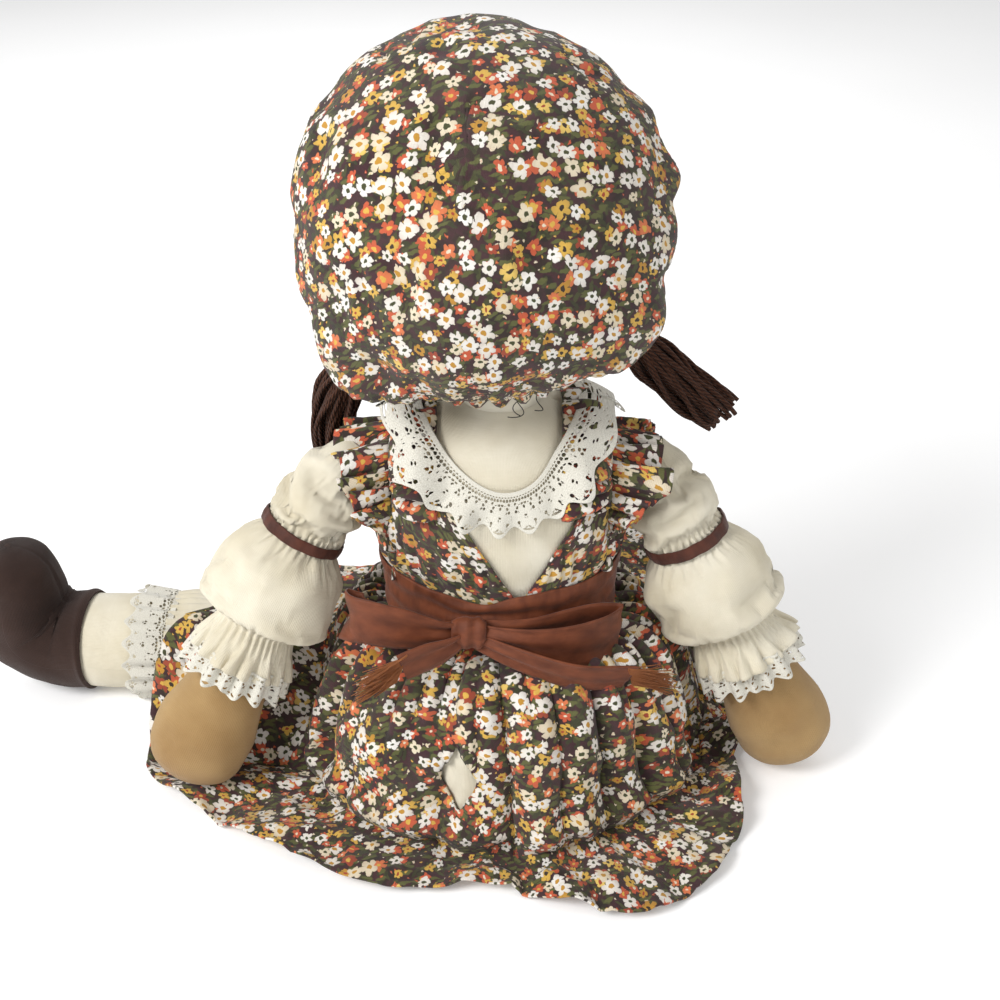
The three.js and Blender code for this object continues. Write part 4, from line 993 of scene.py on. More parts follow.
def add_cap():
    """The cap: a round of cloth drawn in on an elastic, so that it puffs and folds towards its rim."""
    end = CAP_RIM + math.degrees(CAP_BAND / (HEAD[0] / 2))
    rows = np.concatenate([np.linspace(1.5, 84, 52), np.linspace(85, end, 26)])
    angle, turned = grid(rows, full_turn(300))

    def swell(turn_at, turn_width, angle_at, angle_width):
        return np.exp(-((turned - turn_at) / turn_width) ** 2 - ((angle - angle_at) / angle_width) ** 2)

    direction = compass(turned)
    loose = smooth(CAP_RIM - angle, 0, 26)
    low = smooth(angle, 45, 98)
    drawn = 0.7 - 2.2 * np.abs(ripple(direction * 46 + stack(0, 0, angle * 0.12), 12, 4))
    broad = 0.6 - 2.0 * np.abs(ripple(direction * 46 + stack(0, 0, angle * 0.34), 34, 5))
    top = ripple(direction * angle[..., None], 20, 6)
    gathers = np.cos(58 * turned + 3 * np.sin(5 * turned)) * smooth(angle, 82, 99)
    puffs = 6 * swell(2.15, 0.38, 84, 13), 6 * swell(4.1, 0.36, 82, 14)
    corners = 17 * swell(2.4, 0.3, 94, 9) + 9 * swell(3.95, 0.3, 92, 9)
    tuck = 3 * swell(math.pi, 0.9, 76, 5)
    out = CAP_SEAT + CAP_PUFF * loose
    out = out + loose * (low * (3.4 * drawn + 5.0 * broad) + 2.6 * top + puffs[0] + puffs[1] - tuck)
    out = out + smooth(CAP_RIM - angle, 0, 11) * corners
    beyond = smooth(angle, CAP_RIM, end)
    out = out + gathers * (0.9 + 1.1 * beyond) + 2.4 * beyond + 0.5
    points = placed_head(on_head(angle, turned, np.maximum(out, CAP_SEAT)))
    held = smooth(angle, CAP_RIM - 4, CAP_RIM)
    coarse = angle[::3, ::4]
    ball = placed_head(on_head(coarse, turned[::3, ::4], np.full_like(coarse, 3.0)))
    job = {"points": points, "wrap": True, "pins": held, "ease": 0.07, "pressure": -0.1, "bend": 0.15}
    points = settled([{**job, "reach": 5}], [(ball[:, ::-1], True)], 26)[0]
    reach = (running(spans(points).mean(axis=1)) + 2)[:, None]
    seam = np.concatenate([turned, turned[:, :1] + TURN], axis=1)
    uv = np.stack([reach * np.cos(seam), reach * np.sin(seam)], axis=-1)
    obj = surface("cap", points, PRINT, wrap=True, ends=("first",), uv=uv, thickness=COTTON)
    cloth_piece(obj, "head", ("cap_crown", "cap_band"))


def marched(field):
    """The region where a grid of numbers is above 0, as points and faces: corners, and crossings
    between them, of each cell."""
    inside = field > 0
    places, number, faces = [], {}, []

    def vertex(j, i, b=None):
        key = (j, i, b)
        if key not in number:
            number[key] = len(places)
            if b is None:
                places.append((i * LACE_STEP, j * LACE_STEP))
            else:
                n, m = (j, i + 1) if b == "u" else (j + 1, i)
                t = min(max(field[j, i] / (field[j, i] - field[n, m]), 0.08), 0.92)
                places.append(((i + t * (m - i)) * LACE_STEP, (j + t * (n - j)) * LACE_STEP))
        return number[key]

    full = inside[:-1, :-1] & inside[1:, :-1] & inside[:-1, 1:] & inside[1:, 1:]
    some = inside[:-1, :-1] | inside[1:, :-1] | inside[:-1, 1:] | inside[1:, 1:]
    for j, i in np.argwhere(some):
        ring = [(j, i), (j, i + 1), (j + 1, i + 1), (j + 1, i)]
        if full[j, i]:
            faces.append([vertex(*c) for c in ring])
            continue
        sides = [(j, i, "u"), (j, i + 1, "v"), (j + 1, i, "u"), (j, i, "v")]
        face = []
        for k in range(4):
            here, there = ring[k], ring[(k + 1) % 4]
            if inside[here]:
                face.append(vertex(*here))
            if inside[here] != inside[there]:
                face.append(vertex(*sides[k]))
        if len(face) > 2:
            faces.append(face)
    return np.array(places), faces


def lace_field(length, width, scallops):
    """Where a lace edging has thread: net, a flower in each scallop, a heading and a corded edge."""
    down = np.arange(0, width + LACE_STEP, LACE_STEP)
    v, u = grid(down, np.arange(0, length + LACE_STEP / 2, LACE_STEP))
    pitch = length / scallops
    across = (u / pitch % 1 - 0.5) * pitch
    edge = width - 0.2 * width * (0.5 - 0.5 * np.cos(TURN * u / pitch + math.pi)) - LACE_STEP
    mesh = 2.3
    row = np.round(v / (mesh * 0.866))
    near_u = u - (np.round(u / mesh - 0.5 * (row % 2)) + 0.5 * (row % 2)) * mesh
    net = np.hypot(near_u, v - row * mesh * 0.866) - 0.4 * mesh
    middle = 0.56 * width
    flower_r = np.hypot(across, (v - middle) * 1.05)
    flower_a = np.arctan2(v - middle, across)
    petal = 0.3 * width * (0.55 + 0.45 * np.abs(np.cos(3 * flower_a)))
    ring = 0.55 - np.abs(flower_r - 0.36 * width)
    flower = np.maximum(np.minimum(petal - flower_r, flower_r - 0.055 * width), ring)
    vein = 0.55 - np.abs(np.abs(across) - 0.42 * pitch + 0.1 * (v - middle))
    vein = np.minimum(vein, np.minimum(v - 0.2 * width, 0.9 * width - v))
    top_band = 0.09 * width - v
    cord = 0.9 - np.abs(edge - 0.7 - v)
    eyelets = np.hypot(across % (pitch / 6) - pitch / 12, v - edge + 2.6) - 0.6
    thread = np.maximum.reduce([np.minimum(net, eyelets), flower, vein, top_band, cord])
    return np.minimum(np.minimum(thread, edge - v), 1.0)


def lace_piece(name, length, width, scallops, place, body, replaces):
    """A lace edging laid by a function from its own length and width to the doll."""
    places, faces = marched(lace_field(length, width, scallops))
    corners = [places[k] for f in faces for k in f]
    mesh = cloth_mesh(name, place(places[:, 0], places[:, 1]), faces, corners)
    obj = finished(name, mesh, LACE_WHITE, thickness=LACE, offset=0.0)
    return cloth_piece(obj, body, replaces)


def add_collar():
    """The lace collar: low at the back, up over the straps by the neck, and round the front."""
    half = COLLAR_WIDTH / 2
    side = shoulder_top(half, 1.0)
    low = {1: NECK_BASE - COLLAR_SCOOPS[0] + 7, -1: NECK_BASE - COLLAR_SCOOPS[1]}

    def place(u, v):
        turned = TURN * u / COLLAR_LENGTH
        behind = np.where(np.sin(turned) > 0, 1, -1)
        bottom = np.where(behind > 0, low[1], low[-1])
        down = np.abs(np.sin(turned))
        lean = unit(np.stack([np.cos(turned), -0.25 - down], axis=-1))
        x = half * np.cos(turned) * (1 - 0.12 * down) + v * lean[:, 0] - 3 * smooth(np.sin(turned), 0.5, 1)
        z = lerp(side, bottom, down ** 1.3) + v * lean[:, 1]
        z = np.minimum(z, shoulder_top(np.minimum(np.abs(x), 60.0), 1.0))
        wide, deep = half_width(z), half_depth(z)
        y = behind * deep * np.sqrt(np.maximum(1 - (x / wide) ** 2, 0))
        out = unit(stack(x / wide ** 2, y / deep ** 2, 0.02 * smooth(z, 192, 222)))
        strap = smooth(np.abs(x), STRAP_INNER - 10, STRAP_INNER + 4)
        panel = np.where(behind > 0, smooth(np.abs(x + 10), 20, 28) * smooth(-z, -196, -186), 1.0)
        ruffle = 1.5 * np.sin(TURN * u / 23 + np.sin(TURN * u / 71)) * smooth(v, 3, COLLAR_LACE)
        lift = 1.6 + np.maximum(5.0 * panel, 9.5 * strap) + ruffle + 0.1 * v
        return pushed(stack(x, y, z), out, lift)

    lace_piece("collar", COLLAR_LENGTH, COLLAR_LACE + 2, 19, place, "torso", ("lace_collar",))


def armhole_clear(points, side):
    """How far points are outside the armhole round a sleeve's root."""
    return np.linalg.norm(points - JOINT_AT[f"shoulder_{side}"], axis=-1) - SLEEVE_ROOT - 11


def add_bodice():
    """Front and back panels of the pinafore, with small gathers into the waist."""
    offset, width, bottom = BACK_V
    lift = GAP + COTTON

    def panel(name, low_angle, high_angle, sides):
        z, share = grid(np.linspace(WAIST_SEAM, BODICE_TOP, 52), np.linspace(0, 1, 120))
        angle = lerp(low_angle(z), high_angle(z), share)
        base = on_torso(angle, z, lift)
        gathers = np.abs(np.sin(angle * 21 + np.sin(angle * 9))) * (2.4 * smooth(-z, -178, -138) + 0.4)
        edge = np.minimum(share, 1 - share)
        wave = ripple(base, 17, 8) * 2.4 + ripple(base * [1, 1, 0.5], 7, 9) * 0.8
        wave = (wave + gathers) * smooth(z, SASH_BOTTOM + SASH_WIDTH - 4, SASH_BOTTOM + SASH_WIDTH + 10)
        points = on_torso(angle, z, lift + wave * smooth(edge, 0, 0.05) + 1.0)
        keep = np.ones((51, 119), bool)
        for side in sides:
            clear = armhole_clear(points, side)
            keep &= (clear[:-1, :-1] > 0) & (clear[1:, 1:] > 0)
        return surface(name, points, PRINT, keep=keep, thickness=COTTON)

    def v_angle(side):
        def angle(z):
            x = offset + side * np.maximum(GAP, width / 2 * (z - bottom) / (BODICE_TOP - bottom))
            return np.arccos(np.clip(x / (half_width(z) + lift), -1, 1))
        return angle

    def fixed(value):
        return lambda z: np.full_like(z, value)

    panels = (
        ("front", fixed(math.pi + 0.02), fixed(TURN - 0.02), ("left", "right"), "bodice_front"),
        ("left", fixed(0.0), v_angle(1), ("left",), "bodice_back_left"),
        ("right", v_angle(-1), fixed(math.pi), ("right",), "bodice_back_right"),
    )
    for name, low_angle, high_angle, sides, node in panels:
        obj = panel(f"bodice_{name}_panel", low_angle, high_angle, sides)
        cloth_piece(obj, "torso", (node,))


def add_straps():
    """Gathered straps over the shoulders, bunched by their casing."""
    for name, side in SIDES.items():
        u, share = grid(np.linspace(-1, 1, 150), np.linspace(0, 1, 26))
        x = STRAP_INNER - 3 + share * (STRAP_WIDTH + 3)
        base = over_shoulder(x, u, BODICE_TOP - 6, 2.2)
        bunch = 1.6 * np.abs(np.sin(u * 15 + 1.4 * np.sin(u * 8) + 1.2 * share + side)) - 1
        small = np.abs(np.sin(u * 33 + 2 * share + 2 * side)) - 0.6
        plump = np.sin(math.pi * share) ** 0.7
        rise = 1.2 + plump * (5.0 + 4.2 * bunch + 1.6 * small) + ripple(base, 9, 11 + side) * 1.6
        lean = normals(base, False)
        lean = lean * np.where(np.sum(lean * (base - [0, 0, 150]), axis=-1) < 0, -1, 1)[..., None]
        points = pushed(base, lean, rise) * [side, 1, 1]
        obj = surface(f"strap_{name}", points, PRINT, thickness=COTTON)
        cloth_piece(obj, "torso", (f"shoulder_strap_{name}",))


def add_ruffles():
    """Frills along the straps' outer edges, from waist to waist."""
    for name, side in SIDES.items():
        u, share = grid(np.linspace(-1, 1, 260), np.linspace(0, 1, 18))
        edge = STRAP_INNER + STRAP_WIDTH + 1
        base = over_shoulder(np.full_like(u, edge), u, SASH_BOTTOM + SASH_WIDTH - 2, 2.5)
        low = np.abs(u)
        uneven = 1 + 0.12 * np.sin(u * 9 + side) + 0.08 * np.sin(u * 23)
        width = (RUFFLE_WIDTH + 5) * (0.05 + 0.95 * (1 - smooth(low, 0.35, 0.95))) * share * uneven
        phase = u * 40 + 1.9 * np.sin(u * 11 + side) + 0.8 * share
        gather = np.sin(phase) * (1.4 + 5.6 * share) + 2.2 * np.sin(2.3 * phase + 1) * share
        angle = np.sign(u) * smooth(low, 0, 0.6)
        rise = gather * (1 - 0.7 * low) - width * 0.22 * (1 - low)
        points = base + stack(width * 0.93, width * 0.42 * angle + gather * low, rise)
        job = {"points": points, "wrap": False, "pins": 1 - smooth(share, 0.0, 0.12), "ease": 0.14}
        job.update({"pressure": 0, "bend": 0.1, "reach": 6, "gravity": 0.03})
        points = settled([job], [], 22)[0] * [side, 1, 1]
        obj = surface(f"ruffle_{name}", points, PRINT, thickness=COTTON, offset=0.0)
        cloth_piece(obj, "torso", (f"strap_ruffle_{name}",))


# The skirt
LEG_LINES = {
    name: (JOINT_AT[f"hip_{name}"][:2], heading(turn)) for name, turn in LEG_TURNS.items()
}


def over_legs(x, y):
    """How high cloth has to lie at a place to pass over the legs."""
    top = LEG_AXIS + LEG_RADIUS + GAP + 7.5
    found = np.zeros_like(x)
    for hip, along in LEG_LINES.values():
        away = np.stack([x - hip[0], y - hip[1]], axis=-1)
        ahead = away @ along
        aside = np.linalg.norm(away - ahead[..., None] * along, axis=-1)
        started = smooth(ahead, -1.8 * LEG_ROOT, -0.2 * LEG_ROOT)
        found = np.maximum(found, top * started * (1 - smooth(aside, LEG_RADIUS * 1.1, LEG_RADIUS * 2.6)))
    return found


SKIRT_TUCK = 0.07
SKIRT_FOOT = 0.58


def skirt_base(angles, shares):
    """The skirt's smooth form: down inside the sash, out in a bell, over the legs and on the floor."""
    below = SASH_BOTTOM - 1.5 - 2 * GAP
    bell = ((SKIRT_TUCK, 0, 1), (0.18, 0.55, 0.9), (0.32, 0.95, 0.52), (0.46, 1.15, 0.14))
    hang = through([*((t, up * below) for t, _, up in bell), (SKIRT_FOOT, 1.2), (1, 1.2)])(shares)
    middle, drawn, wide = HEM_DRAWN
    hem = around(HEM_SPREAD)(angles) - drawn * smooth(np.cos(angles - middle), wide, 1)
    spread = np.empty((len(shares), len(angles)))
    for k, reach in enumerate(np.maximum(SKIRT_LENGTH * hem, SKIRT_BELL * 1.8)):
        flare = [(t, out * SKIRT_BELL) for t, out, _ in bell]
        spread[:, k] = through([*flare, (SKIRT_FOOT, SKIRT_BELL * 1.45), (1, reach)])(shares)
    waist = on_torso(angles, np.full_like(angles, WAIST_SEAM), GAP + 0.6)
    away = waist[:, :2] / np.linalg.norm(waist[:, :2], axis=1, keepdims=True)
    flat = waist[None, :, :2] + spread[..., None] * away[None]
    legs = over_legs(flat[..., 0], flat[..., 1])
    ease = 24 * smooth(legs, 0, 24)
    height = hang[:, None]
    z = np.minimum((height + legs + np.sqrt((height - legs) ** 2 + ease ** 2)) / 2, below)
    tucked = shares <= SKIRT_TUCK
    flat[tucked] = waist[None, :, :2]
    z[tucked] = lerp(WAIST_SEAM, below, shares[tucked] / SKIRT_TUCK)[:, None]
    return stack(flat[..., 0], flat[..., 1], z)


def skirt_grid(obstacles):
    """The gathered skirt with its folds, as a grid of points and its place on the flat cloth."""
    angles = full_turn(420)
    shares = np.concatenate([[0, SKIRT_TUCK * 0.6], np.linspace(SKIRT_TUCK, 1, 66)])
    base = skirt_base(angles, shares)
    out = normals(base, True)
    radial = stack(np.cos(angles), np.sin(angles), 1.0)[None]
    out = np.where(np.sum(out * radial, axis=-1, keepdims=True) < 0, -out, out)
    out = unit(out + 0.8 * radial / math.sqrt(2))
    t, a = grid(shares, angles)
    ring = compass(a)
    beside = on_torso(angles, np.full_like(angles, WAIST_SEAM), SKIRT_BELL * 1.6)
    taut = smooth(over_legs(beside[:, 0], beside[:, 1]), 2, LEG_RADIUS)[None]
    wander = ripple(ring * 60 + stack(0, 0, t * 12), 22, 20)
    fine = np.abs(np.sin(23 * a + 1.5 * np.sin(5 * a) + 0.5 * wander)) ** 0.9
    broad = np.abs(np.sin(10.5 * a + 1.2 * np.sin(3 * a) + 1.2 * wander)) ** 0.9
    large = 0.5 - 0.5 * np.cos(9 * a + 1.5 * np.sin(2 * a) + 1.2 * wander)
    near = smooth(t, SKIRT_TUCK, 0.14)
    lift = 5.0 * fine * near * (1 - smooth(t, 0.16, 0.4))
    lift = lift + 9.5 * broad * smooth(t, 0.1, 0.26) * (1 - 0.55 * smooth(t, 0.42, 0.62)) * (1 - 0.6 * taut)
    lift = lift + 9.0 * large * smooth(t, 0.16, 0.4) * (1 - 0.3 * smooth(t, 0.5, 0.7)) * (1 - taut)
    lift = lift + (ripple(base, 19, 21) * 2.2 + ripple(base, 8, 22) * 0.7) * smooth(t, 0.12, 0.3)
    shelf = hump(t, 0.47, 0.05) * smooth(np.sin(a), 0.1, 0.6)
    lift = lift + 7.0 * shelf * (1 - taut)
    points = pushed(base, out, lift)
    crease = 1 - np.abs(ripple(base * [1, 1, 0.6], 27, 23))
    points[..., 2] += 3.0 * (crease ** 6) * smooth(t, 0.6, 0.8)
    points = rested(points, ON_FLOOR)
    side = np.linspace(-400, 400, 9)
    floor = stack(*grid(side, side[::-1]), 0.0)
    held = 1 - smooth(t, SKIRT_TUCK, 0.12)
    job = {"points": points, "wrap": True, "pins": held, "ease": 0.04, "pressure": 0, "bend": 0.3}
    job.update({"reach": 8, "gravity": 0.04})
    points = rested(settled([job], [(floor, False), *obstacles], 22)[0], ON_FLOOR)
    # the cut's two edges meet at the doll's right side
    points = np.roll(points, len(angles) // 2, axis=1)
    return points, ring_cut(points)


def ring_cut(points):
    """A flared skirt's flat cut: part of a ring whose arcs are closest to the rows' lengths, with each
    column as long and as wide as the cloth is there."""
    across = np.linalg.norm(np.roll(points, -1, axis=1) - points, axis=-1)
    lengths = across.sum(axis=1)
    near = range(-CUT_EASE, CUT_EASE + 1)
    steps, shares = (
        sum(np.roll(column, k, axis=1) for k in near) / len(near)
        for column in (spans(points), across / lengths[:, None])
    )
    down = np.concatenate([np.zeros((1, len(steps[0]))), np.cumsum(steps, axis=0)])
    turn, first = np.polyfit(down.mean(axis=1), lengths, 1)
    reach = first / turn + np.concatenate([down, down[:, :1]], axis=1)
    angle = turn * (running(shares[CUT_EASE:].mean(axis=0)) - 0.5)
    return np.stack([reach * np.sin(angle), reach * np.cos(angle)], axis=-1)


# Each wing of the skirt: its leg, the direction from the hip in which it lies, how far from the hip it
# begins and a length past that, and the strip beside the leg that the wing holds
WINGS = {
    "left": ("left", 18, 6, 55, (-300, 22)),
    "behind": ("left", -95, -47, 25, (22, 300)),
    "right": ("right", -108, 6, 75, (-300, 300)),
}


def bent_at_hip(obj):
    """A piece with its placement baked into its mesh."""
    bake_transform(obj)


def corners_of(faces):
    """The points of a closed grid that touch any of the marked faces."""
    touched = np.zeros((faces.shape[0] + 1, faces.shape[1]), bool)
    touched[:-1] |= faces
    touched[1:] |= faces
    return touched | np.roll(touched, 1, axis=1)


def add_skirt(obstacles):
    """The skirt in pieces: the seat, a facing behind its slit, and wings over and behind the legs."""
    points, uv = skirt_grid(obstacles)
    pairs = points + np.roll(points, -1, axis=1)
    middle = pairs[:-1] / 4 + pairs[1:] / 4
    x0, z0, wide, tall = PLACKET
    aside = np.abs(middle[..., 0] - x0) / (wide / 2) + np.abs(middle[..., 2] - z0) / (tall / 2)
    behind = middle[..., 1] > HIPS[1] / 2
    kept = ~((aside < 1) & behind)
    rows, cols = (np.flatnonzero(((aside < 1.6) & behind).any(axis=k)) for k in (1, 0))
    facing = points[rows[0]:rows[-1] + 2, cols[0]:cols[-1] + 2] - [0, 4.0, 0.5]
    obj = surface("placket_facing", facing, MUSLIN, thickness=COTTON)
    cloth_piece(obj, "torso")
    # the slit's edge, drawn in from the faces' corners to a clean line
    rim = corners_of(kept) & corners_of(~kept)
    x, z = points[rim, 0] - x0, points[rim, 2] - z0
    share = np.abs(x) / (wide / 2) + np.abs(z) / (tall / 2)
    points[rim, 0], points[rim, 2] = x0 + x / share, z0 + z / share
    for name, (leg, turned, begins, _, strip) in WINGS.items():
        hip, along = LEG_LINES[leg]
        from_hip = middle[..., :2] - hip
        beside = from_hip @ np.array([-along[1], along[0]])
        moved = from_hip @ heading(math.radians(turned)) > begins
        wing = kept & moved & (beside > strip[0]) & (beside <= strip[1])
        if name == "behind":
            wing = wing & (from_hip @ along > 0)
        kept = kept & ~wing
        obj = surface(f"skirt_{name}", points, PRINT, wrap=True, uv=uv, keep=wing, thickness=COTTON)
        cloth_piece(obj)
        bent_at_hip(obj)
    obj = surface("skirt_seat", points, PRINT, wrap=True, uv=uv, keep=kept, thickness=COTTON)
    cloth_piece(obj, "torso", ("skirt",))


def add_sash():
    """The ribbon round the waist, creased along its length."""
    z, angle = grid(np.linspace(SASH_BOTTOM, SASH_BOTTOM + SASH_WIDTH, 26), full_turn(220))
    v = (z - SASH_BOTTOM) / SASH_WIDTH
    ring = compass(angle)
    sway = ripple(ring * 40, 15, 30)
    crease = np.sin(TURN * (2.6 * v + 0.5 * sway)) * (0.7 + 0.5 * ripple(ring * 40, 30, 31))
    drawn = hump(angle, math.pi / 2 - 0.2, 0.3)
    points = on_torso(angle, lerp(z, SASH_BOTTOM + SASH_WIDTH / 2, 0.35 * drawn), 4.6 + crease)
    points[..., 2] += 1.2 * sway
    obj = surface("sash", points, SASH, wrap=True, thickness=RIBBON, offset=0.0)
    cloth_piece(obj, "torso", ("sash_band",))


def ribbon_run(name, path, widths, tilt, creases):
    """A ribbon along a path, as wide as a list says, standing by a direction at each end."""
    line = Path(path)
    far, across = grid(np.linspace(0, line.length, 60), np.linspace(-1, 1, 15))
    share = far / line.length
    at, along = line.at(far)
    stand = lerp(np.array(tilt[0], float), np.array(tilt[1], float), share[..., None])
    stand = unit(stand - along * np.sum(stand * along, axis=-1, keepdims=True))
    face = np.cross(along, stand)
    wide = through(list(zip(np.linspace(0, 1, len(widths)), widths)))(share) / 2
    fold = creases * np.sin(across * 5.5 + 2 * share) * (1 - 0.6 * smooth(wide, 4, 14))
    points = pushed(pushed(at, stand, across * wide), face, fold)
    return surface(name, points, SASH, thickness=RIBBON, offset=0.0)


def frayed(name, ends, reach):
    """Loose threads past a ribbon's cut end, between two corners."""
    paths = []
    a, b = np.array(ends, float)
    for k in range(FRAY_THREADS):
        start = lerp(a, b, (k + 0.5) / FRAY_THREADS)
        bend = np.array(reach, float) * RNG.uniform(0.55, 1.1) + RNG.normal(0, 1.6, 3)
        t = np.linspace(0, 1, 6)[:, None]
        paths.append(start + bend * t + RNG.normal(0, 1.0, 3) * t * t)
    return strands(name, paths, [np.linspace(0.42, 0.24, 6)] * FRAY_THREADS, FRAY, 5)


def add_bow():
    """The bow at the back: two loops, two tails with frayed ends, and the knot over them."""
    z = SASH_BOTTOM + SASH_WIDTH / 2
    seat = half_depth(z) + 6.5
    knot = np.array([BOW_OFFSET, seat + 5, z])
    up = ((0, 0, 1), (0, 0, 1))
    loops = {
        "left": (
            (0, 0, 0), (14, 5, 2), (40, 6, 7), (58, 1, 8),
            (62, -8, 4), (50, -7, 0), (26, -3, -2), (2, -2, 0),
        ),
        "right": (
            (0, 0, 0), (-18, 6, -2), (-46, 6, -7), (-72, -8, -11),
            (-80, -19, -12), (-68, -17, -9), (-34, -3, -3), (-2, -2, 0),
        ),
    }
    for name, way in loops.items():
        path = np.array(way, float) + knot
        obj = ribbon_run(f"bow_loop_{name}", path, LOOP_WIDTHS, up, 1.3)
        cloth_piece(obj, "torso", ("sash_bow",) if name == "left" else ())
    tails = {
        "left": (((0, 3, -2), (12, 10, -5), (24, 15, -7), (34, 18, -10)), ((0, 0, 1), (-0.3, 0.2, 1))),
        "right": (((0, 2, -3), (-26, 11, -10), (-56, 15, -18), (-84, 8, -24)), ((0, 0, 1), (0.2, 0.5, 1))),
    }
    for name, (way, stand) in tails.items():
        path = np.array(way, float) + knot
        obj = ribbon_run(f"bow_tail_{name}", path, TAIL_WIDTHS, stand, 1.0)
        cloth_piece(obj, "torso")
        reach = FRAY_LENGTH * unit(path[-1] - path[-2]) - [0, 0, 3]
        stood = unit(np.array(stand[1], float)) * 11.5
        fringe = frayed(f"bow_fray_{name}", (path[-1] - stood, path[-1] + stood), reach)
        dressed(fringe, "torso")
    turned, share = grid(full_turn(40), np.linspace(-1, 1, 13))
    swell = 1 - 0.22 * share ** 2 + 0.05 * np.sin(share * 9 + 1)
    wrap = stack(9.0 * share, 6.4 * swell * np.cos(turned), 9.5 * swell * np.sin(turned))
    wrap[..., 1] += 0.9 * np.sin(share * 7 + turned) + 1.5
    obj = surface("bow_knot", (wrap + knot).swapaxes(0, 1), SASH, wrap=True, thickness=RIBBON)
    cloth_piece(obj, "torso")


# Limbs
def limb(path, stations, across, cols, fine=6):
    """Rings square to a path through stations of distance and two radii, with the angle of each column."""
    count = len(stations)
    index = np.linspace(0, count - 1, (count - 1) * fine + 1)
    d, wide, thin = (through(list(enumerate(column)))(index) for column in np.array(stations, float).T)
    at, along = path.at(d)
    side = unit(np.array(across, float) - along * (along @ np.array(across, float))[:, None])
    other = np.cross(along, side)
    angle = full_turn(cols)
    ring = side[:, None] * np.cos(angle)[None, :, None] * wide[:, None, None]
    ring = ring + other[:, None] * np.sin(angle)[None, :, None] * thin[:, None, None]
    return at[:, None] + ring, unit(ring), d[:, None], angle[None]


def dome(distance, wide, thin, length, angles=(28, 54, 74, 86)):
    turned = np.radians(angles)
    return [(distance + length * math.sin(a), wide * math.cos(a), thin * math.cos(a)) for a in turned]


def arm_path(side, out, back, reach_back, hand_rest):
    """The middle line of an arm, bent at the elbow so that the hand comes to its height."""
    shoulder = JOINT_AT["shoulder_left" if side > 0 else "shoulder_right"]
    upper = np.array([side * math.tan(math.radians(out)), math.tan(math.radians(back)), -1])
    elbow = shoulder + UPPER_ARM * upper / np.linalg.norm(upper)
    drop = min(elbow[2] - hand_rest - HAND[1] / 2, 0.97 * FOREARM)
    reach = math.sqrt(FOREARM ** 2 - drop ** 2)
    turned = math.radians(reach_back)
    hand = elbow + np.array([side * math.cos(turned) * reach, math.sin(turned) * reach, -drop])
    return Path([shoulder, elbow, (elbow + hand) / 2, hand])


# The stretch of an arm round its shoulder, measured from the shoulder
SHOULDER_BEND = (-8.0, 26.0)


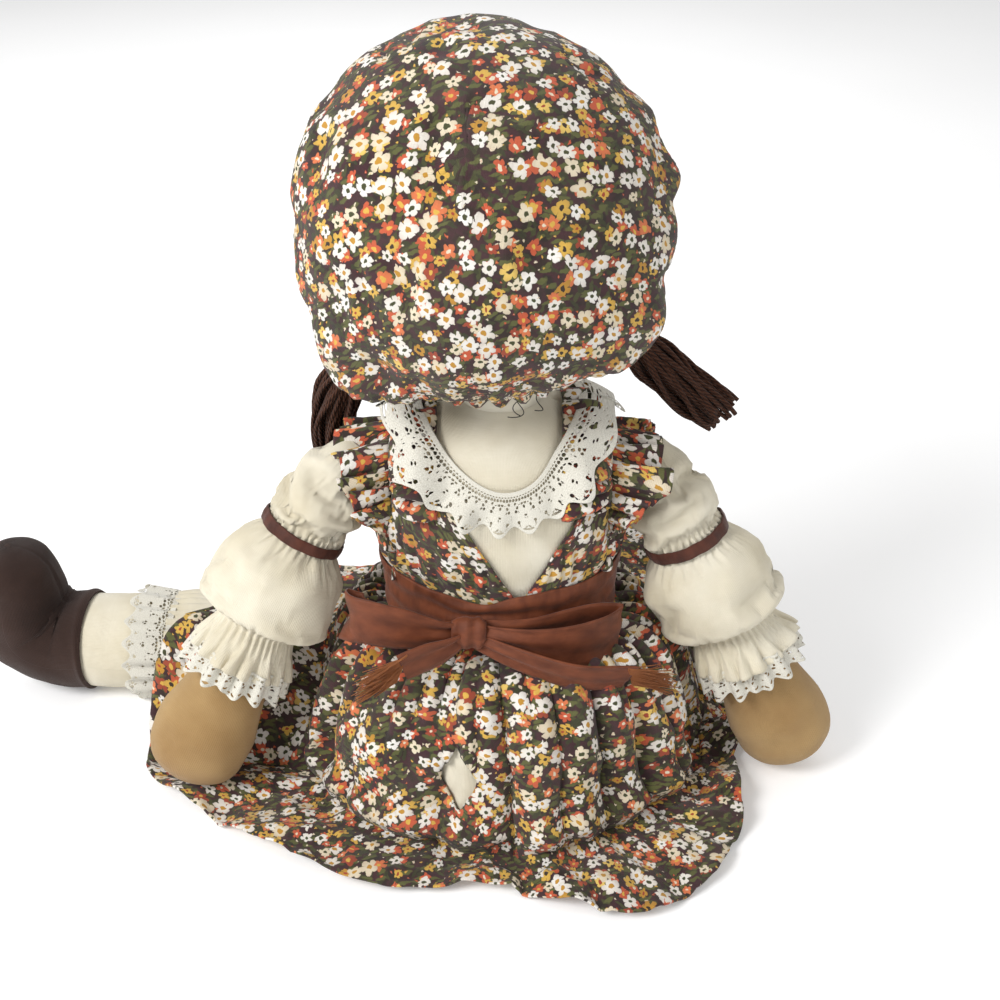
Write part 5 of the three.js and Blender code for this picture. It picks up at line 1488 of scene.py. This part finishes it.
def add_arm(name):
    """An arm with its mitten hand, sleeve, ribbon and lace cuff."""
    line = arm_path(**ARM_POSES[name])
    length, band = line.length, UPPER_ARM
    gather = band + (length - band) * 0.42
    hem = gather + CUFF_FRILL
    half = [s / 2 for s in HAND]
    body = f"arm_{name}"
    arm = [
        *dome(0, ARM_ROOT, ARM_ROOT, -ARM_ROOT, ROOT_ANGLES),
        (band * 0.5, ARM_ROOT + 2, ARM_ROOT),
        (band, FOREARM_RADIUS - 3, FOREARM_RADIUS - 5),
        (gather, FOREARM_RADIUS, FOREARM_RADIUS - 2),
        (hem + CUFF_LACE / 2, FOREARM_RADIUS + 1, FOREARM_RADIUS - 1),
        (length - half[0] / 2, half[0] * 0.97, half[1] * 0.97),
        (length, half[0] * 0.96, half[1] * 0.96),
        *dome(length, half[0] * 0.96, half[1] * 0.96, half[1] * 0.9),
    ]
    points, out, d, angle = limb(line, arm, (1, 0, 0), 72)
    stitches = hump(np.sin(angle), 0, 0.05) * smooth(d, hem, hem + 20)
    soft = ripple(points, 21, 40) * 1.1 + ripple(points, 9, 41) * 0.3
    inner = rested(pushed(points, out, soft * smooth(d, 0, 20) - 0.8 * stitches), 0.6)
    obj = surface(f"hand_{name}", inner, TAN, wrap=True, ends=("first", "last"))
    stuffed_piece(obj, None, (f"arm_skin_{name}", f"arm_stuffing_{name}"))
    seam, into = (tuple(at * MM) for at in line.at(np.array(SHOULDER_BEND))[0])
    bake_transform(obj)

    flat = FOREARM_RADIUS - 2 + GAP + 1.5
    low, high = SLEEVE_PUFFS
    sleeve = [
        *dome(0, SLEEVE_ROOT, SLEEVE_ROOT, -SLEEVE_ROOT, ROOT_ANGLES[1:]),
        (band * 0.28, SLEEVE_ROOT + low * 0.6, SLEEVE_ROOT + 2),
        (band * 0.62, SLEEVE_ROOT + low, SLEEVE_ROOT + 4),
        (band - SLEEVE_RIBBON / 2, flat + 2, flat - 1),
        (band + SLEEVE_RIBBON / 2, flat + 2, flat - 1),
        (lerp(band, gather, 0.4), flat + high * 0.85, flat + high * 0.4),
        (lerp(band, gather, 0.75), flat + high, flat + high * 0.5),
        (gather - 4, flat + high * 0.5, flat + 2),
        (gather, FOREARM_RADIUS + GAP + 1.5, flat),
        (gather + CUFF_FRILL * 0.5, FOREARM_RADIUS + 2 + CUFF_FLARE * 0.5, flat + CUFF_FLARE * 0.5),
        (hem, FOREARM_RADIUS + 2 + CUFF_FLARE, flat + CUFF_FLARE),
    ]
    points, out, d, angle = limb(line, sleeve, (1, 0, 0), 160, 8)
    drawn = np.maximum(hump(d, band, 9), hump(d, gather, 9))
    puffed = smooth(d, band, band + 22) * (1 - smooth(d, gather - 16, gather))
    ring = compass(angle) + 0 * points
    long_fold = ripple(ring * 22 + stack(0 * d, 0 * d, d * 0.22), 7.5, 42)
    slack = ripple(points, 15, 43)
    gathers = np.cos(34 * angle + 2 * np.sin(3 * angle) + 0.05 * d)
    frill = np.cos(17 * angle + 1.2 * np.sin(4 * angle)) * smooth(d, gather + 2, hem)
    upper = smooth(d, 4, 20) * (1 - smooth(d, band - 12, band))
    lift = gathers * drawn + 2.2 * frill
    lift = lift + puffed * (3.2 * long_fold + 1.8 * slack) + upper * (2.6 * long_fold + 1.2 * slack)
    points = pushed(points, out, lift)
    held = np.maximum(hump(d, band, 4), hump(d, gather, 4))
    held = np.clip(np.maximum(held, 1 - smooth(d, -4, 6)) + 0 * angle, 0, 1)
    job = {"points": points, "wrap": True, "pins": held, "ease": 0.16, "pressure": 1.2, "reach": 7}
    points = rested(settled([job], [(inner, True)], 26)[0], 1.5)
    obj = surface(f"sleeve_{name}_cloth", points, MUSLIN, wrap=True, thickness=COTTON)
    cloth_piece(obj, None, (f"sleeve_{name}",))
    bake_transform(obj)

    tie = [
        (band - SLEEVE_RIBBON / 2, flat + 3.6, flat + 0.6),
        (band, flat + 4.0, flat + 1.0),
        (band + SLEEVE_RIBBON / 2, flat + 3.6, flat + 0.6),
    ]
    points, out, d, angle = limb(line, tie, (1, 0, 0), 90, 5)
    points = pushed(points, out, 0.3 * np.cos(9 * angle) + 0.2 * np.cos(17 * angle + 1))
    obj = surface(f"sleeve_{name}_tie", points, DARK_RIBBON, wrap=True, thickness=RIBBON, offset=0.0)
    cloth_piece(obj, body, (f"sleeve_ribbon_{name}",))

    around_cuff = TURN * (FOREARM_RADIUS + 8)

    def place(u, v):
        turned = TURN * u / around_cuff
        at, along = line.at(hem - 2 + v)
        side = unit(np.array([1.0, 0, 0]) - along * along[:, :1])
        other = np.cross(along, side)
        wave = 2.2 * np.cos(17 * turned + 1.2 * np.sin(4 * turned)) + 0.105 * v
        wide = FOREARM_RADIUS + 2.6 + CUFF_FLARE + wave + 0.12 * v
        thin = flat + 0.6 + CUFF_FLARE + wave + 0.12 * v
        made = pushed(pushed(at, side, wide * np.cos(turned)), other, thin * np.sin(turned))
        return rested(made, 1.0)

    replaces, rests_on = (f"cuff_lace_{name}",), [f"sleeve_{name}_cloth"]
    lace_piece(f"cuff_{name}", around_cuff, CUFF_LACE + 2, 13, place, body, replaces)


def leg_place(name, points):
    """From a leg's own frame, with +X along it, to the part's frame."""
    c, s = math.cos(LEG_TURNS[name]), math.sin(LEG_TURNS[name])
    hip = JOINT_AT[f"hip_{name}"]
    x, y, z = np.moveaxis(np.asarray(points, float), -1, 0)
    return stack(x * c - y * s + hip[0], x * s + y * c + hip[1], z)


def add_leg(name):
    """A leg with its stocking, boot, pantalette and lace. Its pantalette is what the skirt drapes over."""
    body = f"leg_{name}"
    shin = Path([(0, 0, LEG_AXIS), (LEG_LENGTH / 2, 0, LEG_AXIS), (LEG_LENGTH, 0, LEG_AXIS)])
    thigh = LEG_ROOT * 1.6
    leg = [
        *dome(0, LEG_ROOT, LEG_ROOT, -LEG_ROOT, ROOT_ANGLES),
        (thigh, LEG_RADIUS, LEG_RADIUS),
        (LEG_LENGTH * 0.6, LEG_RADIUS, LEG_RADIUS),
        (LEG_LENGTH * 0.85, LEG_RADIUS, LEG_RADIUS),
        (LEG_LENGTH, LEG_RADIUS - 1, LEG_RADIUS - 1),
    ]
    points, out, d, angle = limb(shin, leg, (0, 1, 0), 80, 9)
    soft = ripple(points, 26, 50) * 1.2 + ripple(points * [2, 1, 1], 11, 51) * 0.4
    points = leg_place(name, rested(pushed(points, out, soft * smooth(d, 0, 30)), 2.0))
    obj = surface(f"leg_{name}_stocking", points, MUSLIN, wrap=True, ends=("first",))
    stuffed_piece(obj, None, (f"leg_skin_{name}", f"leg_stuffing_{name}"))
    bent_at_hip(obj)

    heel = LEG_LENGTH + BOOT_ANKLE + BOOT_HEEL * 0.6
    toe = BOOT_HEIGHT - BOOT_TOE
    foot = Path([
        (LEG_LENGTH - 3, 0, LEG_AXIS), (LEG_LENGTH + BOOT_ANKLE, 0, LEG_AXIS),
        (heel, 0, lerp(LEG_AXIS, toe, 0.28)), (heel + 2, 0, toe),
    ])
    run = foot.length
    boot = [
        (0, LEG_RADIUS + 0.4, LEG_RADIUS + 0.4),
        (3.5, LEG_RADIUS + 1.2, LEG_RADIUS + 1.2),
        (BOOT_ANKLE * 0.8 + 3, LEG_RADIUS + 1, LEG_RADIUS),
        (run * 0.5, BOOT_HEEL, BOOT_HEEL),
        (run * 0.75, BOOT_HEEL, BOOT_HEEL - 2),
        (run, BOOT_TOE + 2, BOOT_TOE),
        *dome(run, BOOT_TOE + 2, BOOT_TOE, BOOT_TOE),
    ]
    points, out, d, angle = limb(foot, boot, (0, 1, 0), 84, 9)
    hem_roll = 0.9 * hump(d, 2.2, 1.8)
    seam = hump(np.cos(angle), 0, 0.045) * smooth(d, 4, 12)
    soft = ripple(points, 22, 52) * 1.3 + ripple(points, 8, 53) * 0.35
    points = pushed(points, out, soft * smooth(d, 2, 16) + hem_roll - 0.8 * seam)
    points = leg_place(name, rested(points, 0.0))
    obj = surface(f"boot_{name}_cloth", points, BOOT, wrap=True, ends=("last",), thickness=COTTON)
    stuffed_piece(obj, body, (f"boot_{name}",))

    clear = LEG_RADIUS + GAP + 1.5
    legging = [
        (thigh * 0.5, clear, clear),
        (lerp(thigh, PANTALETTE, 0.5), clear + 2, clear + 2),
        (PANTALETTE - 14, clear + 1.5, clear + 1.5),
        (PANTALETTE + 2, clear, clear),
    ]
    points, out, d, angle = limb(shin, legging, (0, 1, 0), 160, 18)
    near = smooth(d, PANTALETTE - 26, PANTALETTE)
    gathers = np.cos(30 * angle + 2 * np.sin(4 * angle)) * (0.3 + 0.9 * near)
    points = pushed(points, out, gathers + 1.6 * ripple(points, 17, 54))
    drapes_over = leg_place(name, rested(points, 1.4))
    obj = surface(f"pantalette_{name}_cloth", drapes_over, MUSLIN, wrap=True, thickness=COTTON)
    cloth_piece(obj, None, (f"pantalette_{name}",))
    bent_at_hip(obj)

    around_leg = TURN * (LEG_RADIUS + 5)

    def place(u, v):
        turned = TURN * u / around_leg
        wave = 1.4 * np.cos(15 * turned + np.sin(5 * turned)) * smooth(v, 0, 6)
        wide = LEG_RADIUS + 1.6 + wave + 0.13 * v
        made = stack(PANTALETTE - 2 + v, wide * np.cos(turned), LEG_AXIS + wide * np.sin(turned))
        return leg_place(name, rested(made, 1.0))

    replaces, rests_on = (f"pantalette_lace_{name}",), [f"leg_{name}_stocking"]
    lace_piece(f"leg_{name}_lace", around_leg, PANTALETTE_LACE + 2, 15, place, body, replaces)
    return drapes_over


def add_loose_threads():
    """A few loose threads at the nape, under the cap's rim."""
    start = placed_head(on_head(np.full(3, 108.0), np.array([3.3, 3.4, 3.25]), np.full(3, 7.0)))
    paths = []
    t = np.linspace(0, 1, 16)
    for k, at in enumerate(start):
        swing = stack(6 * np.sin(5 * t + k), 3, -9 * np.sin(2.4 * t))
        paths.append(at + swing * t[:, None] + np.array([9.0 - 4 * k, 1, -2]) * t[:, None])
    dressed(strands("loose_threads", paths, [0.25] * 3, EYE, 5), "head")


def add_stage():
    """A plain pale floor, soft studio light, and the camera behind and above the doll."""
    mesh = bpy.data.meshes.new("floor")
    corners = [(x * FLOOR_REACH, y * FLOOR_REACH, 0) for x, y in ((-1, -1), (1, -1), (1, 1), (-1, 1))]
    mesh.from_pydata(corners, [], [(0, 1, 2, 3)])
    floor = linked("floor", mesh)
    g = Graph("floor", 0.9)
    grays = [(0.3, (0.9, 0.9, 0.9, 1)), (0.7, (0.93, 0.93, 0.93, 1))]
    tone = g.steps(g.noise(g.place(), 400, 2.0), grays, True)
    g.fill(g.shader, Emission_Color=(1, 1, 1, 1), Emission_Strength=0.12)
    mesh.materials.append(g.finish(tone, 0.0, 0.1))
    world = bpy.data.worlds.new("studio")
    world.use_nodes = True
    color, strength = world.node_tree.nodes["Background"].inputs[:2]
    color.default_value = (1, 1, 1, 1)
    strength.default_value = 0.55
    scene = bpy.context.scene
    scene.world = world
    lights = {
        "key": ((1.1, 0.8, 1.25), 0.7, 28),
        "fill": ((-1.3, 0.7, 1.0), 1.2, 6),
        "front": ((0.2, -1.4, 1.2), 1.2, 8),
    }
    for name, (place, size, power) in lights.items():
        lamp = bpy.data.lights.new(name, "AREA")
        lamp.size = size
        lamp.energy = power
        obj = linked(name, lamp)
        obj.location = place
        obj.rotation_euler = (Vector((0, 0, 0.15)) - Vector(place)).to_track_quat("-Z", "Y").to_euler()
    camera = linked("camera", bpy.data.cameras.new("camera"))
    back = Vector((0, math.cos(CAMERA_ELEVATION), math.sin(CAMERA_ELEVATION)))
    camera.location = CAMERA_TARGET + back * CAMERA_DISTANCE
    camera.rotation_euler = (-back).to_track_quat("-Z", "Y").to_euler()
    camera.data.sensor_width = 36
    camera.data.lens = camera.data.sensor_width / 2 / math.tan(CAMERA_HALF_ANGLE)
    scene.camera = camera
    scene.view_settings.view_transform = "Standard"


add_stage()
under_skirt = [(add_torso(), True)]
add_head()
add_face()
add_hair()
add_cap()
add_collar()
add_bodice()
add_straps()
add_ruffles()
for which, hand in SIDES.items():
    add_pigtail(which, hand)
    add_arm(which)
    under_skirt.append((add_leg(which), True))
add_skirt(under_skirt)
add_sash()
add_bow()
add_loose_threads()
